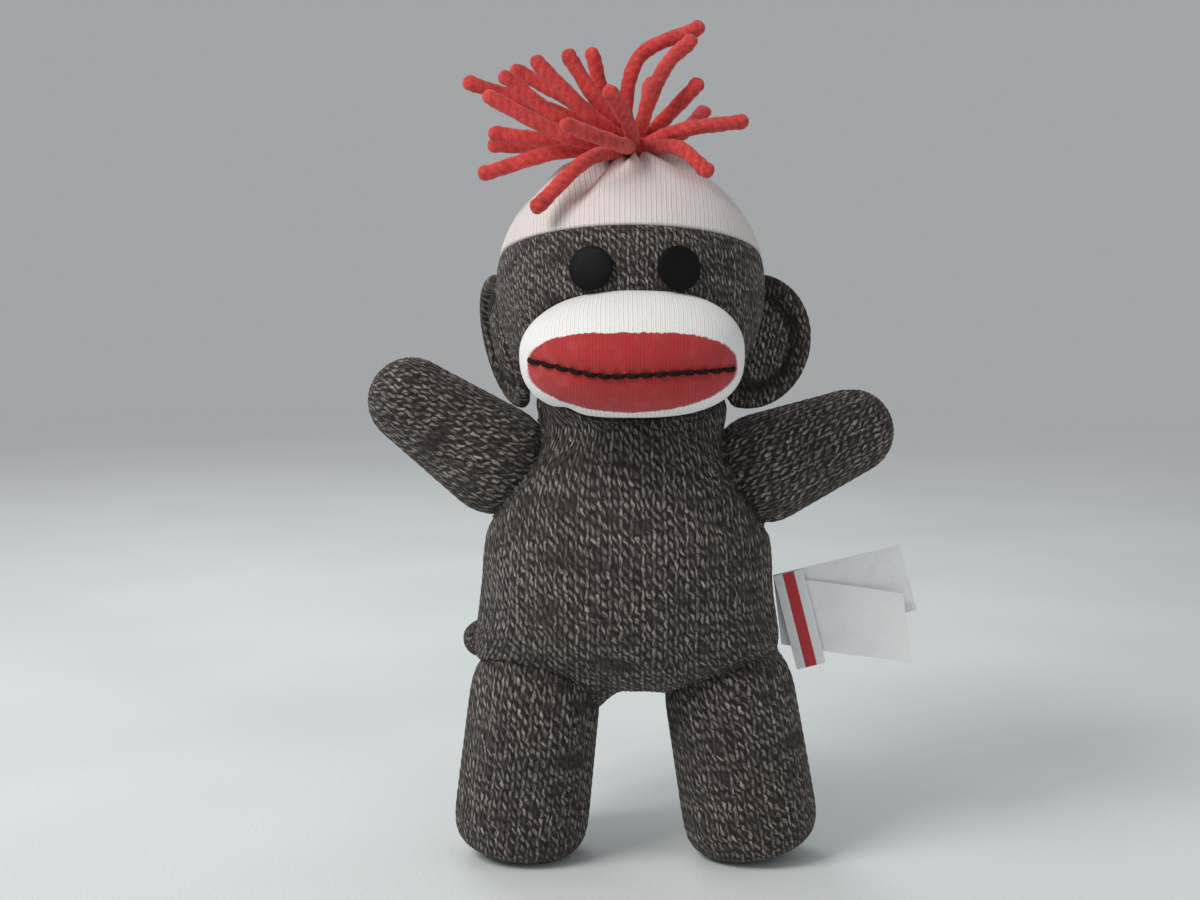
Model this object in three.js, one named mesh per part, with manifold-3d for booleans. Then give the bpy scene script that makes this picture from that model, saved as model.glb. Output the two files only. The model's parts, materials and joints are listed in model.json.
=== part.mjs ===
// A stuffed sock monkey that stands on its two feet, in millimetres.
// +Z is up, the face looks towards -Y, and the toy's left side lies towards +X.
// Each knitted skin is a shell, open where it is sewn on, with its stuffing as a solid of its own inside.
// Head, arms and legs end in balls that sit in hollows of the torso and turn there.

import * as THREE from 'three';
import { mergeVertices } from 'three/addons/utils/BufferGeometryUtils.js';
import Module from 'manifold-3d';

const wasm = await Module();
wasm.setup();

const rightAngle = Math.PI / 2;
const degrees = Math.PI / 180;

// Cloth, thread and clearances
const knitWall = 1.2;
const fit = 0.35;
const threadRadius = 0.5;
const soleDepth = 0.5;
const overrun = 8;

// Torso: a pear, widest at the belly
const bellyHalfWidth = 41.3;
const bellyHalfDepth = 33;
const bellyHeight = 82;
const torsoBottom = 49.5;
const torsoTop = 132.5;
const neckHalfWidth = 22.5;
const lowerPower = 2.3;
const upperPower = 1.25;

// Head: a ball, with an opening over the neck and a crown sewn on along a tilted circle
const headRadius = 37.5;
const headHeight = 163;
const headShift = 0.6;
const neckOpening = 11;
const neckRing = 14;
const crownSeamHeight = 9.7;
const crownSeamTilt = 17.5 * degrees;

// Eyes: domed discs whose shanks pass the skin and are held by washers
const eyeRadius = 6;
const eyeRim = 0.9;
const eyeDome = 1.3;
const eyeSpread = 11.3;
const eyeShift = 0.7;
const eyeRise = 7.7;
const shankRadius = 1.5;
const shankLength = 5;
const washerRadius = 4.4;
const washerThickness = 1.1;

// Muzzle: an oval pad that stands out of the face, with a stitched mouth line
const muzzleHalfWidth = 30;
const muzzleHalfHeight = 17.2;
const muzzleDepth = 22;
const muzzleForward = 32;
const muzzleDrop = 14.7;
const mouthHalfWidth = 27.8;
const mouthDrop = 3.4;
const mouthSag = 0.5;
const mouthThread = 0.65;
const stitchCount = 15;

// Ears: half-moons with a rolled rim
const earReach = 16.7;
const earHalfHeight = 19.2;
const earHalfThickness = 3;
const earRim = 1.9;
const earDrop = 15;
const earSetBack = 4;
const earTilt = 12 * degrees;
const rightEar = { side: -1, fold: 66 * degrees, foldForward: 48 * degrees, foldBack: 84 * degrees };
const leftEar = { side: 1, fold: 0, foldForward: -20 * degrees, foldBack: 60 * degrees };

// Arms and legs: a root ball at the pivot, a swelling side and a rounded end
const arm = { rootRadius: 15.8, tipRadius: 12.4, reach: 29, capDepth: 12.4, capPower: 2 };
const leg = { rootRadius: 18.8, tipRadius: 19.4, reach: 32, capDepth: 15, capPower: 3.4 };
const rootOpening = 2.2;
const limbRing = 3;
const shoulderOut = 6.5;
const shoulderSetBack = 5;
const rightArm = { side: -1, drop: 18, raise: 35 * degrees, sweep: 0 };
const leftArm = { side: 1, drop: 20.5, raise: 18 * degrees, sweep: 22 * degrees };
const rightLeg = { side: -1, out: 26.5, tilt: 6.3 * degrees };
const leftLeg = { side: 1, out: 29.3, tilt: 9.5 * degrees };

// Tail: a thin stuffed tube that leaves the back and bends to the right hip
const tailRadius = 5.5;
const tailReach = 40;
const tailHeight = 62;
const tailSide = 6;
const tailOut = 3.4;
const tailOpening = 2.4;
const tailRouteShares = [
  [-0.06, 0.2, 0.02],
  [-0.34, 0.32, 0],
  [-0.7, 0.18, -0.08],
  [-0.93, -0.08, -0.12],
];

// Labels: a ribbon tab and the two leaves of a care label, sewn in at the left side
const labelDrop = 1;
const labelSetBack = 2;
const labelGap = 0.5;
const tabWidth = 8.3;
const tabLength = 28;
const tabThickness = 1;
const tabTilt = 14.5 * degrees;
const leafWidth = 37;
const leafHeight = 19.5;
const leafThickness = 0.4;
const leafShear = 5;
const frontLeafTilt = 7 * degrees;
const backLeafTilt = 14 * degrees;
const frontLeafCurl = 4;
const backLeafCurl = 1.5;

// Tuft: yarn strands that fan out of a knot on the crown
const knotRadius = 5.5;
const knotRise = 1.5;
const knotShift = 1;
const yarnRadius = 1.55;
const yarnRootRadius = 0.95;
const yarnSwell = 7;
const tuftReach = 40;
const strandRouteShares = [
  [[-0.06, 0.05, 0.26], [0.04, 0.1, 0.63], [0.44, 0.12, 0.82]],
  [[0.1, -0.17, 0.32], [0.23, -0.12, 0.58], [0.38, -0.07, 0.72]],
  [[0.19, 0.03, 0.18], [0.43, 0, 0.43]],
  [[0.31, -0.23, 0.12], [0.73, -0.15, 0.18]],
  [[0.3, -0.35, 0], [0.48, -0.42, -0.15]],
  [[-0.22, -0.15, 0.26], [-0.45, -0.15, 0.62]],
  [[-0.19, 0.24, 0.28], [-0.29, 0.25, 0.65]],
  [[-0.3, -0.33, 0.22], [-0.66, -0.35, 0.57]],
  [[-0.35, 0.05, 0.27], [-0.81, 0.1, 0.53]],
  [[-0.47, -0.17, 0.17], [-0.88, -0.15, 0.48]],
  [[-0.46, 0.33, 0.22], [-1.15, 0.25, 0.45]],
  [[-0.46, -0.42, 0.08], [-0.98, -0.4, 0.34]],
  [[-0.54, -0.03, 0.05], [-0.96, 0, 0.1]],
  [[-0.52, 0.28, 0], [-0.98, 0.3, 0.02]],
  [[-0.54, -0.24, -0.03], [-1.02, -0.25, -0.17]],
  [[-0.33, -0.52, -0.08], [-0.65, -0.73, -0.38]],
  [[-0.11, 0.42, 0.19], [-0.24, 0.65, 0.45]],
  [[0.08, 0.25, 0.25], [0.12, 0.5, 0.45]],
  [[-0.04, -0.4, 0.15], [-0.17, -0.65, 0.37]],
  [[-0.32, 0.5, 0.08], [-0.73, 0.7, 0.25]],
  [[0.29, 0.25, 0.07], [0.5, 0.5, 0.25]],
  [[-0.12, -0.58, 0.03], [-0.45, -0.9, 0.15]],
];

// Faceting
const fineSides = 24;
const sides = 18;
const coarseSides = 14;
const cordSides = 6;

// Materials, one function each
function marledKnit() {
  return new THREE.MeshStandardMaterial({ color: 0x6a615d, roughness: 0.95, metalness: 0 });
}

function creamKnit() {
  return new THREE.MeshStandardMaterial({ color: 0xd8cfcb, roughness: 0.95, metalness: 0 });
}

function whiteKnit() {
  return new THREE.MeshStandardMaterial({ color: 0xe4e3e0, roughness: 0.95, metalness: 0 });
}

function redYarn() {
  return new THREE.MeshStandardMaterial({ color: 0xc83a34, roughness: 0.9, metalness: 0 });
}

function darkThread() {
  return new THREE.MeshStandardMaterial({ color: 0x1d1614, roughness: 0.8, metalness: 0 });
}

function brownThread() {
  return new THREE.MeshStandardMaterial({ color: 0x3f3835, roughness: 0.8, metalness: 0 });
}

function blackPlastic() {
  return new THREE.MeshStandardMaterial({ color: 0x121214, roughness: 0.25, metalness: 0 });
}

function whitePlastic() {
  return new THREE.MeshStandardMaterial({ color: 0xd9d9d6, roughness: 0.6, metalness: 0 });
}

function polyesterFibre() {
  return new THREE.MeshStandardMaterial({ color: 0xf2f1ee, roughness: 1, metalness: 0 });
}

function wovenRibbon() {
  return new THREE.MeshStandardMaterial({ color: 0xf0efed, roughness: 0.85, metalness: 0 });
}

// Solids: closed geometries become solids for cutting, and solids become named meshes
function solidOf(geometry) {
  const bare = geometry.clone();
  bare.deleteAttribute('normal');
  bare.deleteAttribute('uv');
  const merged = mergeVertices(bare);
  const corners = merged.index.array;
  const kept = [];
  for (let i = 0; i < corners.length; i += 3) {
    const [a, b, c] = [corners[i], corners[i + 1], corners[i + 2]];
    if (a !== b && b !== c && c !== a) {
      kept.push(a, b, c);
    }
  }
  const vertProperties = new Float32Array(merged.attributes.position.array);
  return new wasm.Manifold(new wasm.Mesh({ numProp: 3, vertProperties, triVerts: new Uint32Array(kept) }));
}

function meshOf(name, solid, material) {
  const shape = solid.getMesh();
  const geometry = new THREE.BufferGeometry();
  geometry.setAttribute('position', new THREE.BufferAttribute(new Float32Array(shape.vertProperties), 3));
  geometry.setIndex(new THREE.BufferAttribute(new Uint32Array(shape.triVerts), 1));
  geometry.computeVertexNormals();
  const mesh = new THREE.Mesh(geometry, material);
  mesh.name = name;
  return mesh;
}

function cutBy(solid, cutters) {
  return cutters.reduce((rest, cutter) => rest.subtract(cutter), solid);
}

// A solid of revolution about Z from points of radius and height
function revolved(points, segments) {
  return new THREE.LatheGeometry(points, segments).rotateX(rightAngle);
}

function ball(radius, segments) {
  return new THREE.SphereGeometry(radius, segments, segments / 2).rotateX(rightAngle);
}

// A ball whose facets all stay outside the radius, for cutting the hollow of a turning ball
function hollowBall(radius, centre, segments = sides) {
  const outside = radius / Math.cos(Math.PI / segments) ** 2;
  return solidOf(ball(outside, segments).translate(centre.x, centre.y, centre.z));
}

function rod(radius, from, to) {
  const points = [
    new THREE.Vector2(0, from),
    new THREE.Vector2(radius, from),
    new THREE.Vector2(radius, to),
    new THREE.Vector2(0, to),
  ];
  return revolved(points, coarseSides);
}

function ring(radius, tube, height) {
  return new THREE.TorusGeometry(radius, tube, 5, coarseSides).translate(0, 0, height);
}

// A closed tube along points, with its own radius at each point and a flat cap at each end
function cord(points, radii, around) {
  const positions = [];
  const corners = [];
  let across = new THREE.Vector3();
  points.forEach((point, i) => {
    const before = points[Math.max(i - 1, 0)];
    const after = points[Math.min(i + 1, points.length - 1)];
    const along = after.clone().sub(before).normalize();
    if (i === 0) {
      const helper = Math.abs(along.z) < Math.abs(along.x) ? new THREE.Vector3(0, 0, 1) : new THREE.Vector3(1, 0, 0);
      across = helper;
    }
    across = across.clone().addScaledVector(along, -across.dot(along)).normalize();
    const third = along.clone().cross(across);
    for (let k = 0; k < around; k += 1) {
      const angle = (k / around) * 2 * Math.PI;
      const spot = point.clone();
      spot.addScaledVector(across, Math.cos(angle) * radii[i]);
      spot.addScaledVector(third, Math.sin(angle) * radii[i]);
      positions.push(spot.x, spot.y, spot.z);
    }
  });
  for (let i = 0; i < points.length - 1; i += 1) {
    for (let k = 0; k < around; k += 1) {
      const a = i * around + k;
      const b = i * around + ((k + 1) % around);
      corners.push(a, b, b + around, a, b + around, a + around);
    }
  }
  const last = (points.length - 1) * around;
  for (let k = 1; k < around - 1; k += 1) {
    corners.push(0, k + 1, k, last, last + k, last + k + 1);
  }
  const geometry = new THREE.BufferGeometry();
  geometry.setAttribute('position', new THREE.BufferAttribute(new Float32Array(positions), 3));
  geometry.setIndex(corners);
  return geometry;
}

// Torso
function torsoProfile(inset, steps) {
  const belly = bellyHalfWidth - inset;
  const neck = neckHalfWidth - inset;
  const below = bellyHeight - torsoBottom - inset;
  const above = torsoTop - bellyHeight - inset;
  const points = [];
  for (let i = 0; i <= steps; i += 1) {
    const angle = (i / steps) * rightAngle;
    const out = belly * Math.sin(angle) ** (2 / lowerPower);
    points.push(new THREE.Vector2(out, bellyHeight - below * Math.abs(Math.cos(angle)) ** (2 / lowerPower)));
  }
  for (let i = 1; i <= steps; i += 1) {
    const share = i / steps;
    const taper = Math.abs(Math.cos(share * rightAngle)) ** upperPower;
    points.push(new THREE.Vector2(neck + (belly - neck) * taper, bellyHeight + above * share));
  }
  points.push(new THREE.Vector2(0, bellyHeight + above));
  return points;
}

function torsoBody(inset, segments, steps) {
  const flatten = (bellyHalfDepth - inset) / (bellyHalfWidth - inset);
  return solidOf(revolved(torsoProfile(inset, steps), segments).scale(1, flatten, 1));
}

function torsoHalfWidth(height) {
  if (height < bellyHeight) {
    const share = (bellyHeight - height) / (bellyHeight - torsoBottom);
    return bellyHalfWidth * (1 - share ** lowerPower) ** (1 / lowerPower);
  }
  const share = (height - bellyHeight) / (torsoTop - bellyHeight);
  return neckHalfWidth + (bellyHalfWidth - neckHalfWidth) * Math.cos(share * rightAngle) ** upperPower;
}

// The hollows for the turning balls: at the skin they fit closely, deeper in they leave room for the threads
function torsoHollows(room) {
  return [
    hollowBall(headRadius + room, head.position, fineSides),
    hollowBall(arm.rootRadius + room, rightShoulder.position),
    hollowBall(arm.rootRadius + room, leftShoulder.position),
    hollowBall(leg.rootRadius + room, rightHip.position),
    hollowBall(leg.rootRadius + room, leftHip.position),
    hollowBall(tailRadius + room, tailRoot.position),
  ];
}

const threadRoom = fit + 2 * threadRadius + fit;

function buildTorso() {
  const group = new THREE.Group();
  const shell = torsoBody(0, fineSides, 7).subtract(torsoBody(knitWall, sides, 5));
  const skin = cutBy(shell, torsoHollows(fit));
  const stuffing = cutBy(torsoBody(knitWall + fit, sides, 5), torsoHollows(threadRoom));
  group.add(meshOf('torso_skin', skin, marledKnit()));
  group.add(meshOf('torso_stuffing', stuffing, polyesterFibre()));
  return group;
}

// A gathering thread that draws a root together and sews it on, in the room between ball and hollow
function gatheringThread(name, ballRadius, ringRadius) {
  const away = ballRadius + fit + threadRadius;
  const height = Math.sqrt(away ** 2 - ringRadius ** 2);
  return meshOf(name, solidOf(ring(ringRadius, threadRadius, height)), brownThread());
}

function sewnOn(name, ballRadius, ringRadius, position) {
  const group = new THREE.Group();
  group.position.copy(position);
  group.lookAt(0, 0, bellyHeight);
  group.add(gatheringThread(name, ballRadius, ringRadius));
  return group;
}

// Limbs, built along +Z from the pivot at the centre of the root ball
function limbProfile(limb, inset, steps) {
  const root = limb.rootRadius - inset;
  const tip = limb.tipRadius - inset;
  const cap = limb.capDepth - inset;
  const points = [];
  for (let i = 0; i <= steps; i += 1) {
    const angle = (i / steps) * rightAngle;
    points.push(new THREE.Vector2(root * Math.sin(angle), -root * Math.cos(angle)));
  }
  for (let i = 1; i < steps; i += 1) {
    const share = i / steps;
    points.push(new THREE.Vector2(THREE.MathUtils.lerp(root, tip, share), limb.reach * share));
  }
  for (let i = 0; i <= steps; i += 1) {
    const angle = (i / steps) * rightAngle;
    const out = tip * Math.abs(Math.cos(angle)) ** (2 / limb.capPower);
    points.push(new THREE.Vector2(out, limb.reach + cap * Math.sin(angle) ** (2 / limb.capPower)));
  }
  return points;
}

function limbPieces(name, limb, cutters) {
  const outer = solidOf(revolved(limbProfile(limb, 0, 5), sides));
  const inner = solidOf(revolved(limbProfile(limb, knitWall, 4), coarseSides));
  const opening = solidOf(rod(rootOpening, -limb.rootRadius - overrun, 0));
  const skin = cutBy(outer.subtract(inner), [opening, ...cutters]);
  const stuffing = solidOf(revolved(limbProfile(limb, knitWall + fit, 4), coarseSides));
  return [
    meshOf(`${name}_skin`, skin, marledKnit()),
    meshOf(`${name}_stuffing`, stuffing, polyesterFibre()),
  ];
}

function placeShoulder(placed) {
  const group = new THREE.Group();
  const height = torsoTop - placed.drop;
  const out = torsoHalfWidth(height) + shoulderOut;
  group.position.set(placed.side * out, shoulderSetBack, height);
  group.rotation.set(0, placed.side * (rightAngle - placed.raise), placed.side * placed.sweep, 'ZYX');
  return group;
}

// A hip stands so high that the leg's rounded end would reach the sole's depth below the floor
function placeHip(placed) {
  const group = new THREE.Group();
  group.rotation.set(0, placed.side * (Math.PI - placed.tilt), 0);
  const shape = new THREE.Mesh(revolved(limbProfile(leg, 0, 5), sides));
  shape.rotation.copy(group.rotation);
  const lowest = new THREE.Box3().setFromObject(shape, true).min.z;
  group.position.set(placed.side * placed.out, 0, -lowest - soleDepth);
  return group;
}

// The floor as a block, seen from inside a leg's own frame
function floorFor(hip) {
  const size = leg.rootRadius + leg.reach + leg.capDepth + overrun;
  const block = new THREE.BoxGeometry(size, size, size).translate(hip.position.x, 0, -size / 2);
  hip.updateMatrixWorld(true);
  return solidOf(block.applyMatrix4(hip.matrixWorld.clone().invert()));
}

function fillLimb(group, name, limb, cutters) {
  group.add(...limbPieces(name, limb, cutters));
  return group;
}

// Tail
function tailCord(radius, steps, around) {
  const route = tailRouteShares.map((share) => new THREE.Vector3(...share).multiplyScalar(tailReach));
  const curve = new THREE.CatmullRomCurve3([new THREE.Vector3(0, 0, 0), ...route]);
  const points = [];
  const radii = [];
  const start = curve.getTangent(0);
  const end = curve.getTangent(1);
  for (let i = 1; i < 4; i += 1) {
    const angle = (i / 4) * rightAngle;
    points.push(start.clone().multiplyScalar(-radius * Math.cos(angle)));
    radii.push(radius * Math.sin(angle));
  }
  for (let i = 0; i <= steps; i += 1) {
    points.push(curve.getPoint(i / steps));
    radii.push(radius);
  }
  for (let i = 1; i < 4; i += 1) {
    const angle = (i / 4) * rightAngle;
    points.push(curve.getPoint(1).addScaledVector(end, radius * Math.sin(angle)));
    radii.push(radius * Math.cos(angle));
  }
  return cord(points, radii, around);
}

function placeTail() {
  const group = new THREE.Group();
  const width = torsoHalfWidth(tailHeight);
  const depth = (bellyHalfDepth / bellyHalfWidth) * Math.sqrt(width ** 2 - tailSide ** 2);
  group.position.set(-tailSide, depth + tailOut, tailHeight);
  return group;
}

function fillTail(group) {
  const opening = solidOf(rod(tailOpening, 0, tailRadius + overrun).rotateX(rightAngle));
  const outer = solidOf(tailCord(tailRadius, 7, 10));
  const inner = solidOf(tailCord(tailRadius - knitWall, 7, 10));
  const stuffing = solidOf(tailCord(tailRadius - knitWall - fit, 7, 10));
  group.add(meshOf('tail_skin', cutBy(outer, [inner, opening]), marledKnit()));
  group.add(meshOf('tail_stuffing', stuffing, polyesterFibre()));
  return group;
}

// Head: everything below is about the centre of the head ball
function aboveCrownSeam(gap) {
  const size = 2 * headRadius + overrun;
  const block = new THREE.BoxGeometry(size, size, size).translate(0, 0, size / 2 + gap);
  return solidOf(block.rotateX(-crownSeamTilt).translate(0, 0, crownSeamHeight));
}

function eyeFrame(side) {
  const x = eyeShift + side * eyeSpread;
  const y = -Math.sqrt(headRadius ** 2 - x ** 2 - eyeRise ** 2);
  const outward = new THREE.Vector3(x, y, eyeRise).normalize();
  const turn = new THREE.Quaternion().setFromUnitVectors(new THREE.Vector3(0, 0, 1), outward);
  return new THREE.Matrix4().makeRotationFromQuaternion(turn);
}

function eyeSolid() {
  const seat = headRadius + fit;
  const points = [
    new THREE.Vector2(0, seat - shankLength),
    new THREE.Vector2(shankRadius, seat - shankLength),
    new THREE.Vector2(shankRadius, seat),
    new THREE.Vector2(eyeRadius - eyeRim / 2, seat),
    new THREE.Vector2(eyeRadius, seat + eyeRim / 2),
  ];
  const steps = 3;
  for (let i = 0; i <= steps; i += 1) {
    const angle = (i / steps) * rightAngle;
    const dome = eyeDome * Math.sin(angle);
    points.push(new THREE.Vector2((eyeRadius - eyeRim / 4) * Math.cos(angle), seat + eyeRim + dome));
  }
  return revolved(points, sides);
}

// The washer lies inside the skin as near as its own edge and the skin's facets allow
const skinInside = (headRadius - knitWall) * Math.cos(Math.PI / sides) ** 2;
const washerTop = Math.sqrt(skinInside ** 2 - washerRadius ** 2) - fit;

function washerSolid() {
  const bore = shankRadius + fit / 2;
  const points = [
    new THREE.Vector2(bore, washerTop - washerThickness),
    new THREE.Vector2(washerRadius, washerTop - washerThickness),
    new THREE.Vector2(washerRadius, washerTop),
    new THREE.Vector2(bore, washerTop),
    new THREE.Vector2(bore, washerTop - washerThickness),
  ];
  return revolved(points, coarseSides);
}

function buildSkull() {
  const frames = [eyeFrame(-1), eyeFrame(1)];
  const shell = solidOf(ball(headRadius, fineSides)).subtract(solidOf(ball(headRadius - knitWall, sides)));
  const opening = solidOf(rod(neckOpening, -headRadius - overrun, 0));
  const shankHoles = frames.map((frame) => solidOf(
    rod(shankRadius + fit / 2, 0, headRadius + overrun).applyMatrix4(frame),
  ));
  const pockets = frames.map((frame) => solidOf(
    rod(washerRadius + fit, headRadius - shankLength - fit, headRadius).applyMatrix4(frame),
  ));
  const skin = cutBy(shell, [aboveCrownSeam(0), opening, ...shankHoles]);
  const crown = shell.intersect(aboveCrownSeam(fit));
  const stuffing = cutBy(solidOf(ball(headRadius - knitWall - fit, sides)), pockets);
  return [
    meshOf('head_skin', skin, marledKnit()),
    meshOf('crown_panel', crown, creamKnit()),
    meshOf('head_stuffing', stuffing, polyesterFibre()),
    meshOf('right_eye', solidOf(eyeSolid().applyMatrix4(frames[0])), blackPlastic()),
    meshOf('left_eye', solidOf(eyeSolid().applyMatrix4(frames[1])), blackPlastic()),
    meshOf('right_eye_washer', solidOf(washerSolid().applyMatrix4(frames[0])), whitePlastic()),
    meshOf('left_eye_washer', solidOf(washerSolid().applyMatrix4(frames[1])), whitePlastic()),
  ];
}

// Muzzle
function muzzleOval(grow, around) {
  const oval = new THREE.SphereGeometry(1, around, around / 2);
  oval.scale(muzzleHalfWidth + grow, muzzleDepth + grow, muzzleHalfHeight + grow);
  return solidOf(oval.translate(0, -muzzleForward, -muzzleDrop));
}

function mouthPoint(share) {
  const grow = mouthThread + fit;
  const x = mouthHalfWidth * share;
  const z = -mouthDrop - mouthSag * (1 - share ** 2);
  const inside = 1 - (x / (muzzleHalfWidth + grow)) ** 2 - (z / (muzzleHalfHeight + grow)) ** 2;
  return new THREE.Vector3(x, -muzzleForward - (muzzleDepth + grow) * Math.sqrt(inside), z - muzzleDrop);
}

// One thread across the lips that narrows where it dips between two stitches
function mouthSolid() {
  const ringShares = [[0, 0.55], [0.22, 1], [0.78, 1]];
  const points = [];
  const radii = [];
  for (let i = 0; i < stitchCount; i += 1) {
    for (const [place, width] of ringShares) {
      points.push(mouthPoint(-1 + (2 * (i + place)) / stitchCount));
      radii.push(mouthThread * width);
    }
  }
  points.push(mouthPoint(1));
  radii.push(mouthThread * ringShares[0][1]);
  return solidOf(cord(points, radii, cordSides));
}

function buildMuzzle() {
  const face = hollowBall(headRadius + fit, new THREE.Vector3(), fineSides);
  const skin = muzzleOval(0, 24).subtract(muzzleOval(-knitWall, coarseSides)).subtract(face);
  const stuffing = muzzleOval(-knitWall - fit, coarseSides).subtract(face);
  return [
    meshOf('muzzle_skin', skin, whiteKnit()),
    meshOf('muzzle_stuffing', stuffing, polyesterFibre()),
    meshOf('mouth_stitching', mouthSolid(), darkThread()),
  ];
}

// Ears, built about the middle of their seam: the seam runs along Z and the ear stands out along X
function earMatrix(side, fold) {
  const out = Math.sqrt(headRadius ** 2 - earDrop ** 2 - earSetBack ** 2);
  const matrix = new THREE.Matrix4().makeTranslation(side * out, earSetBack, -earDrop);
  matrix.multiply(new THREE.Matrix4().makeRotationY(side * earTilt));
  return matrix.multiply(new THREE.Matrix4().makeRotationZ(side * fold));
}

function earPad(inset, around) {
  const pad = new THREE.SphereGeometry(1, around, around / 2);
  const halfThickness = earHalfThickness - inset;
  return solidOf(pad.scale(earReach - earRim - inset, halfThickness, earHalfHeight - earRim - inset));
}

function earRimSolid(side) {
  const steps = 12;
  const points = [];
  const radii = [];
  for (let i = 0; i <= steps; i += 1) {
    const angle = THREE.MathUtils.lerp(-rightAngle, rightAngle, i / steps);
    const out = (earReach - earRim) * Math.cos(angle);
    points.push(new THREE.Vector3(side * out, 0, (earHalfHeight - earRim) * Math.sin(angle)));
    radii.push(earRim);
  }
  return solidOf(cord(points, radii, cordSides));
}

// The ear's root is cut back to where the head lies through the whole fold
function headPastEar(ear, room) {
  const steps = 4;
  const cutters = [];
  for (let i = 0; i <= steps; i += 1) {
    const fold = THREE.MathUtils.lerp(ear.foldForward, ear.foldBack, i / steps);
    const inverse = earMatrix(ear.side, fold).invert();
    const centre = new THREE.Vector3().applyMatrix4(inverse);
    cutters.push(hollowBall(headRadius + room, centre, fineSides));
  }
  return cutters;
}

function buildEar(name, ear) {
  const group = new THREE.Group();
  group.applyMatrix4(earMatrix(ear.side, ear.fold));
  const pad = earPad(0, coarseSides).add(earRimSolid(ear.side));
  const behind = solidOf(new THREE.BoxGeometry(earReach, 2 * earHalfHeight, 2 * earHalfHeight + overrun)
    .translate(-ear.side * earReach / 2, 0, 0));
  const cutters = [behind, ...headPastEar(ear, fit)];
  const skin = cutBy(pad.subtract(earPad(knitWall, 12)), cutters);
  const stuffing = cutBy(earPad(knitWall + fit, 12), cutters);
  group.add(meshOf(`${name}_skin`, skin, marledKnit()));
  group.add(meshOf(`${name}_stuffing`, stuffing, polyesterFibre()));
  return group;
}

// Tuft
function yarnStrand(route) {
  const marks = route.map((share) => new THREE.Vector3(...share).multiplyScalar(tuftReach));
  const start = marks[0].clone().setLength(knotRadius + fit);
  const curve = new THREE.CatmullRomCurve3([start, ...marks]);
  const length = curve.getLength();
  const steps = Math.ceil(length / (3.5 * yarnRadius));
  const points = [];
  const radii = [];
  for (let i = 0; i <= steps; i += 1) {
    const swell = Math.min(1, ((i / steps) * length) / yarnSwell);
    points.push(curve.getPointAt(i / steps));
    radii.push(THREE.MathUtils.lerp(yarnRootRadius, yarnRadius, swell));
  }
  points.push(curve.getPoint(1).addScaledVector(curve.getTangent(1), yarnRadius / 2));
  radii.push(yarnRadius * 0.6);
  return solidOf(cord(points, radii, cordSides));
}

function buildTuft() {
  const group = new THREE.Group();
  group.position.set(knotShift, 0, headRadius + knotRise);
  const crown = hollowBall(headRadius + fit, group.position.clone().negate(), fineSides);
  const knot = solidOf(ball(knotRadius, 16)).subtract(crown);
  group.add(meshOf('tuft_knot', knot, redYarn()));
  strandRouteShares.forEach((route, i) => {
    const number = String(i + 1).padStart(2, '0');
    group.add(meshOf(`yarn_strand_${number}`, yarnStrand(route), redYarn()));
  });
  return group;
}

// Labels: thin sheets that hang from the seam at the torso's left side
function sheet(width, height, thickness, shear, curl) {
  const bends = curl === 0 ? 1 : 8;
  const geometry = new THREE.BoxGeometry(width, thickness, height, bends, 1, 1);
  geometry.translate(width / 2, 0, -height / 2);
  const places = geometry.attributes.position;
  for (let i = 0; i < places.count; i += 1) {
    const share = places.getX(i) / width;
    places.setX(i, places.getX(i) - (places.getZ(i) / height) * shear);
    places.setY(i, places.getY(i) - curl * share ** 3);
  }
  return geometry;
}

function buildLabels() {
  const group = new THREE.Group();
  const height = bellyHeight - labelDrop;
  const width = torsoHalfWidth(height);
  const out = width * Math.sqrt(1 - (labelSetBack / bellyHalfDepth) ** 2) + fit;
  group.position.set(out, labelSetBack, height);
  const tab = sheet(tabWidth, tabLength, tabThickness, 0, 0).rotateY(-tabTilt);
  const apart = tabThickness / 2 + labelGap;
  const front = sheet(leafWidth, leafHeight, leafThickness, leafShear, frontLeafCurl);
  const back = sheet(leafWidth, leafHeight, leafThickness, leafShear, backLeafCurl);
  front.rotateY(frontLeafTilt).translate(0, apart, 0);
  back.rotateY(-backLeafTilt).translate(0, apart + leafThickness + labelGap, 0);
  group.add(meshOf('side_tab', solidOf(tab), wovenRibbon()));
  group.add(meshOf('care_label_front', solidOf(front), wovenRibbon()));
  group.add(meshOf('care_label_back', solidOf(back), wovenRibbon()));
  return group;
}

// The toy, put together from the pivots outward
const head = new THREE.Group();
head.position.set(headShift, 0, headHeight);
const rightShoulder = placeShoulder(rightArm);
const leftShoulder = placeShoulder(leftArm);
const rightHip = placeHip(rightLeg);
const leftHip = placeHip(leftLeg);
const tailRoot = placeTail();

head.add(...buildSkull(), ...buildMuzzle());
head.add(buildEar('right_ear', rightEar), buildEar('left_ear', leftEar), buildTuft());
fillLimb(rightShoulder, 'right_arm', arm, []);
fillLimb(leftShoulder, 'left_arm', arm, []);
fillLimb(rightHip, 'right_leg', leg, [floorFor(rightHip)]);
fillLimb(leftHip, 'left_leg', leg, [floorFor(leftHip)]);
fillTail(tailRoot);

const toy = new THREE.Group();
toy.add(buildTorso(), head, rightShoulder, leftShoulder, rightHip, leftHip, tailRoot, buildLabels());
toy.add(sewnOn('neck_stitching', headRadius, neckRing, head.position));
toy.add(sewnOn('right_shoulder_stitching', arm.rootRadius, limbRing, rightShoulder.position));
toy.add(sewnOn('left_shoulder_stitching', arm.rootRadius, limbRing, leftShoulder.position));
toy.add(sewnOn('right_hip_stitching', leg.rootRadius, limbRing, rightHip.position));
toy.add(sewnOn('left_hip_stitching', leg.rootRadius, limbRing, leftHip.position));

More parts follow.
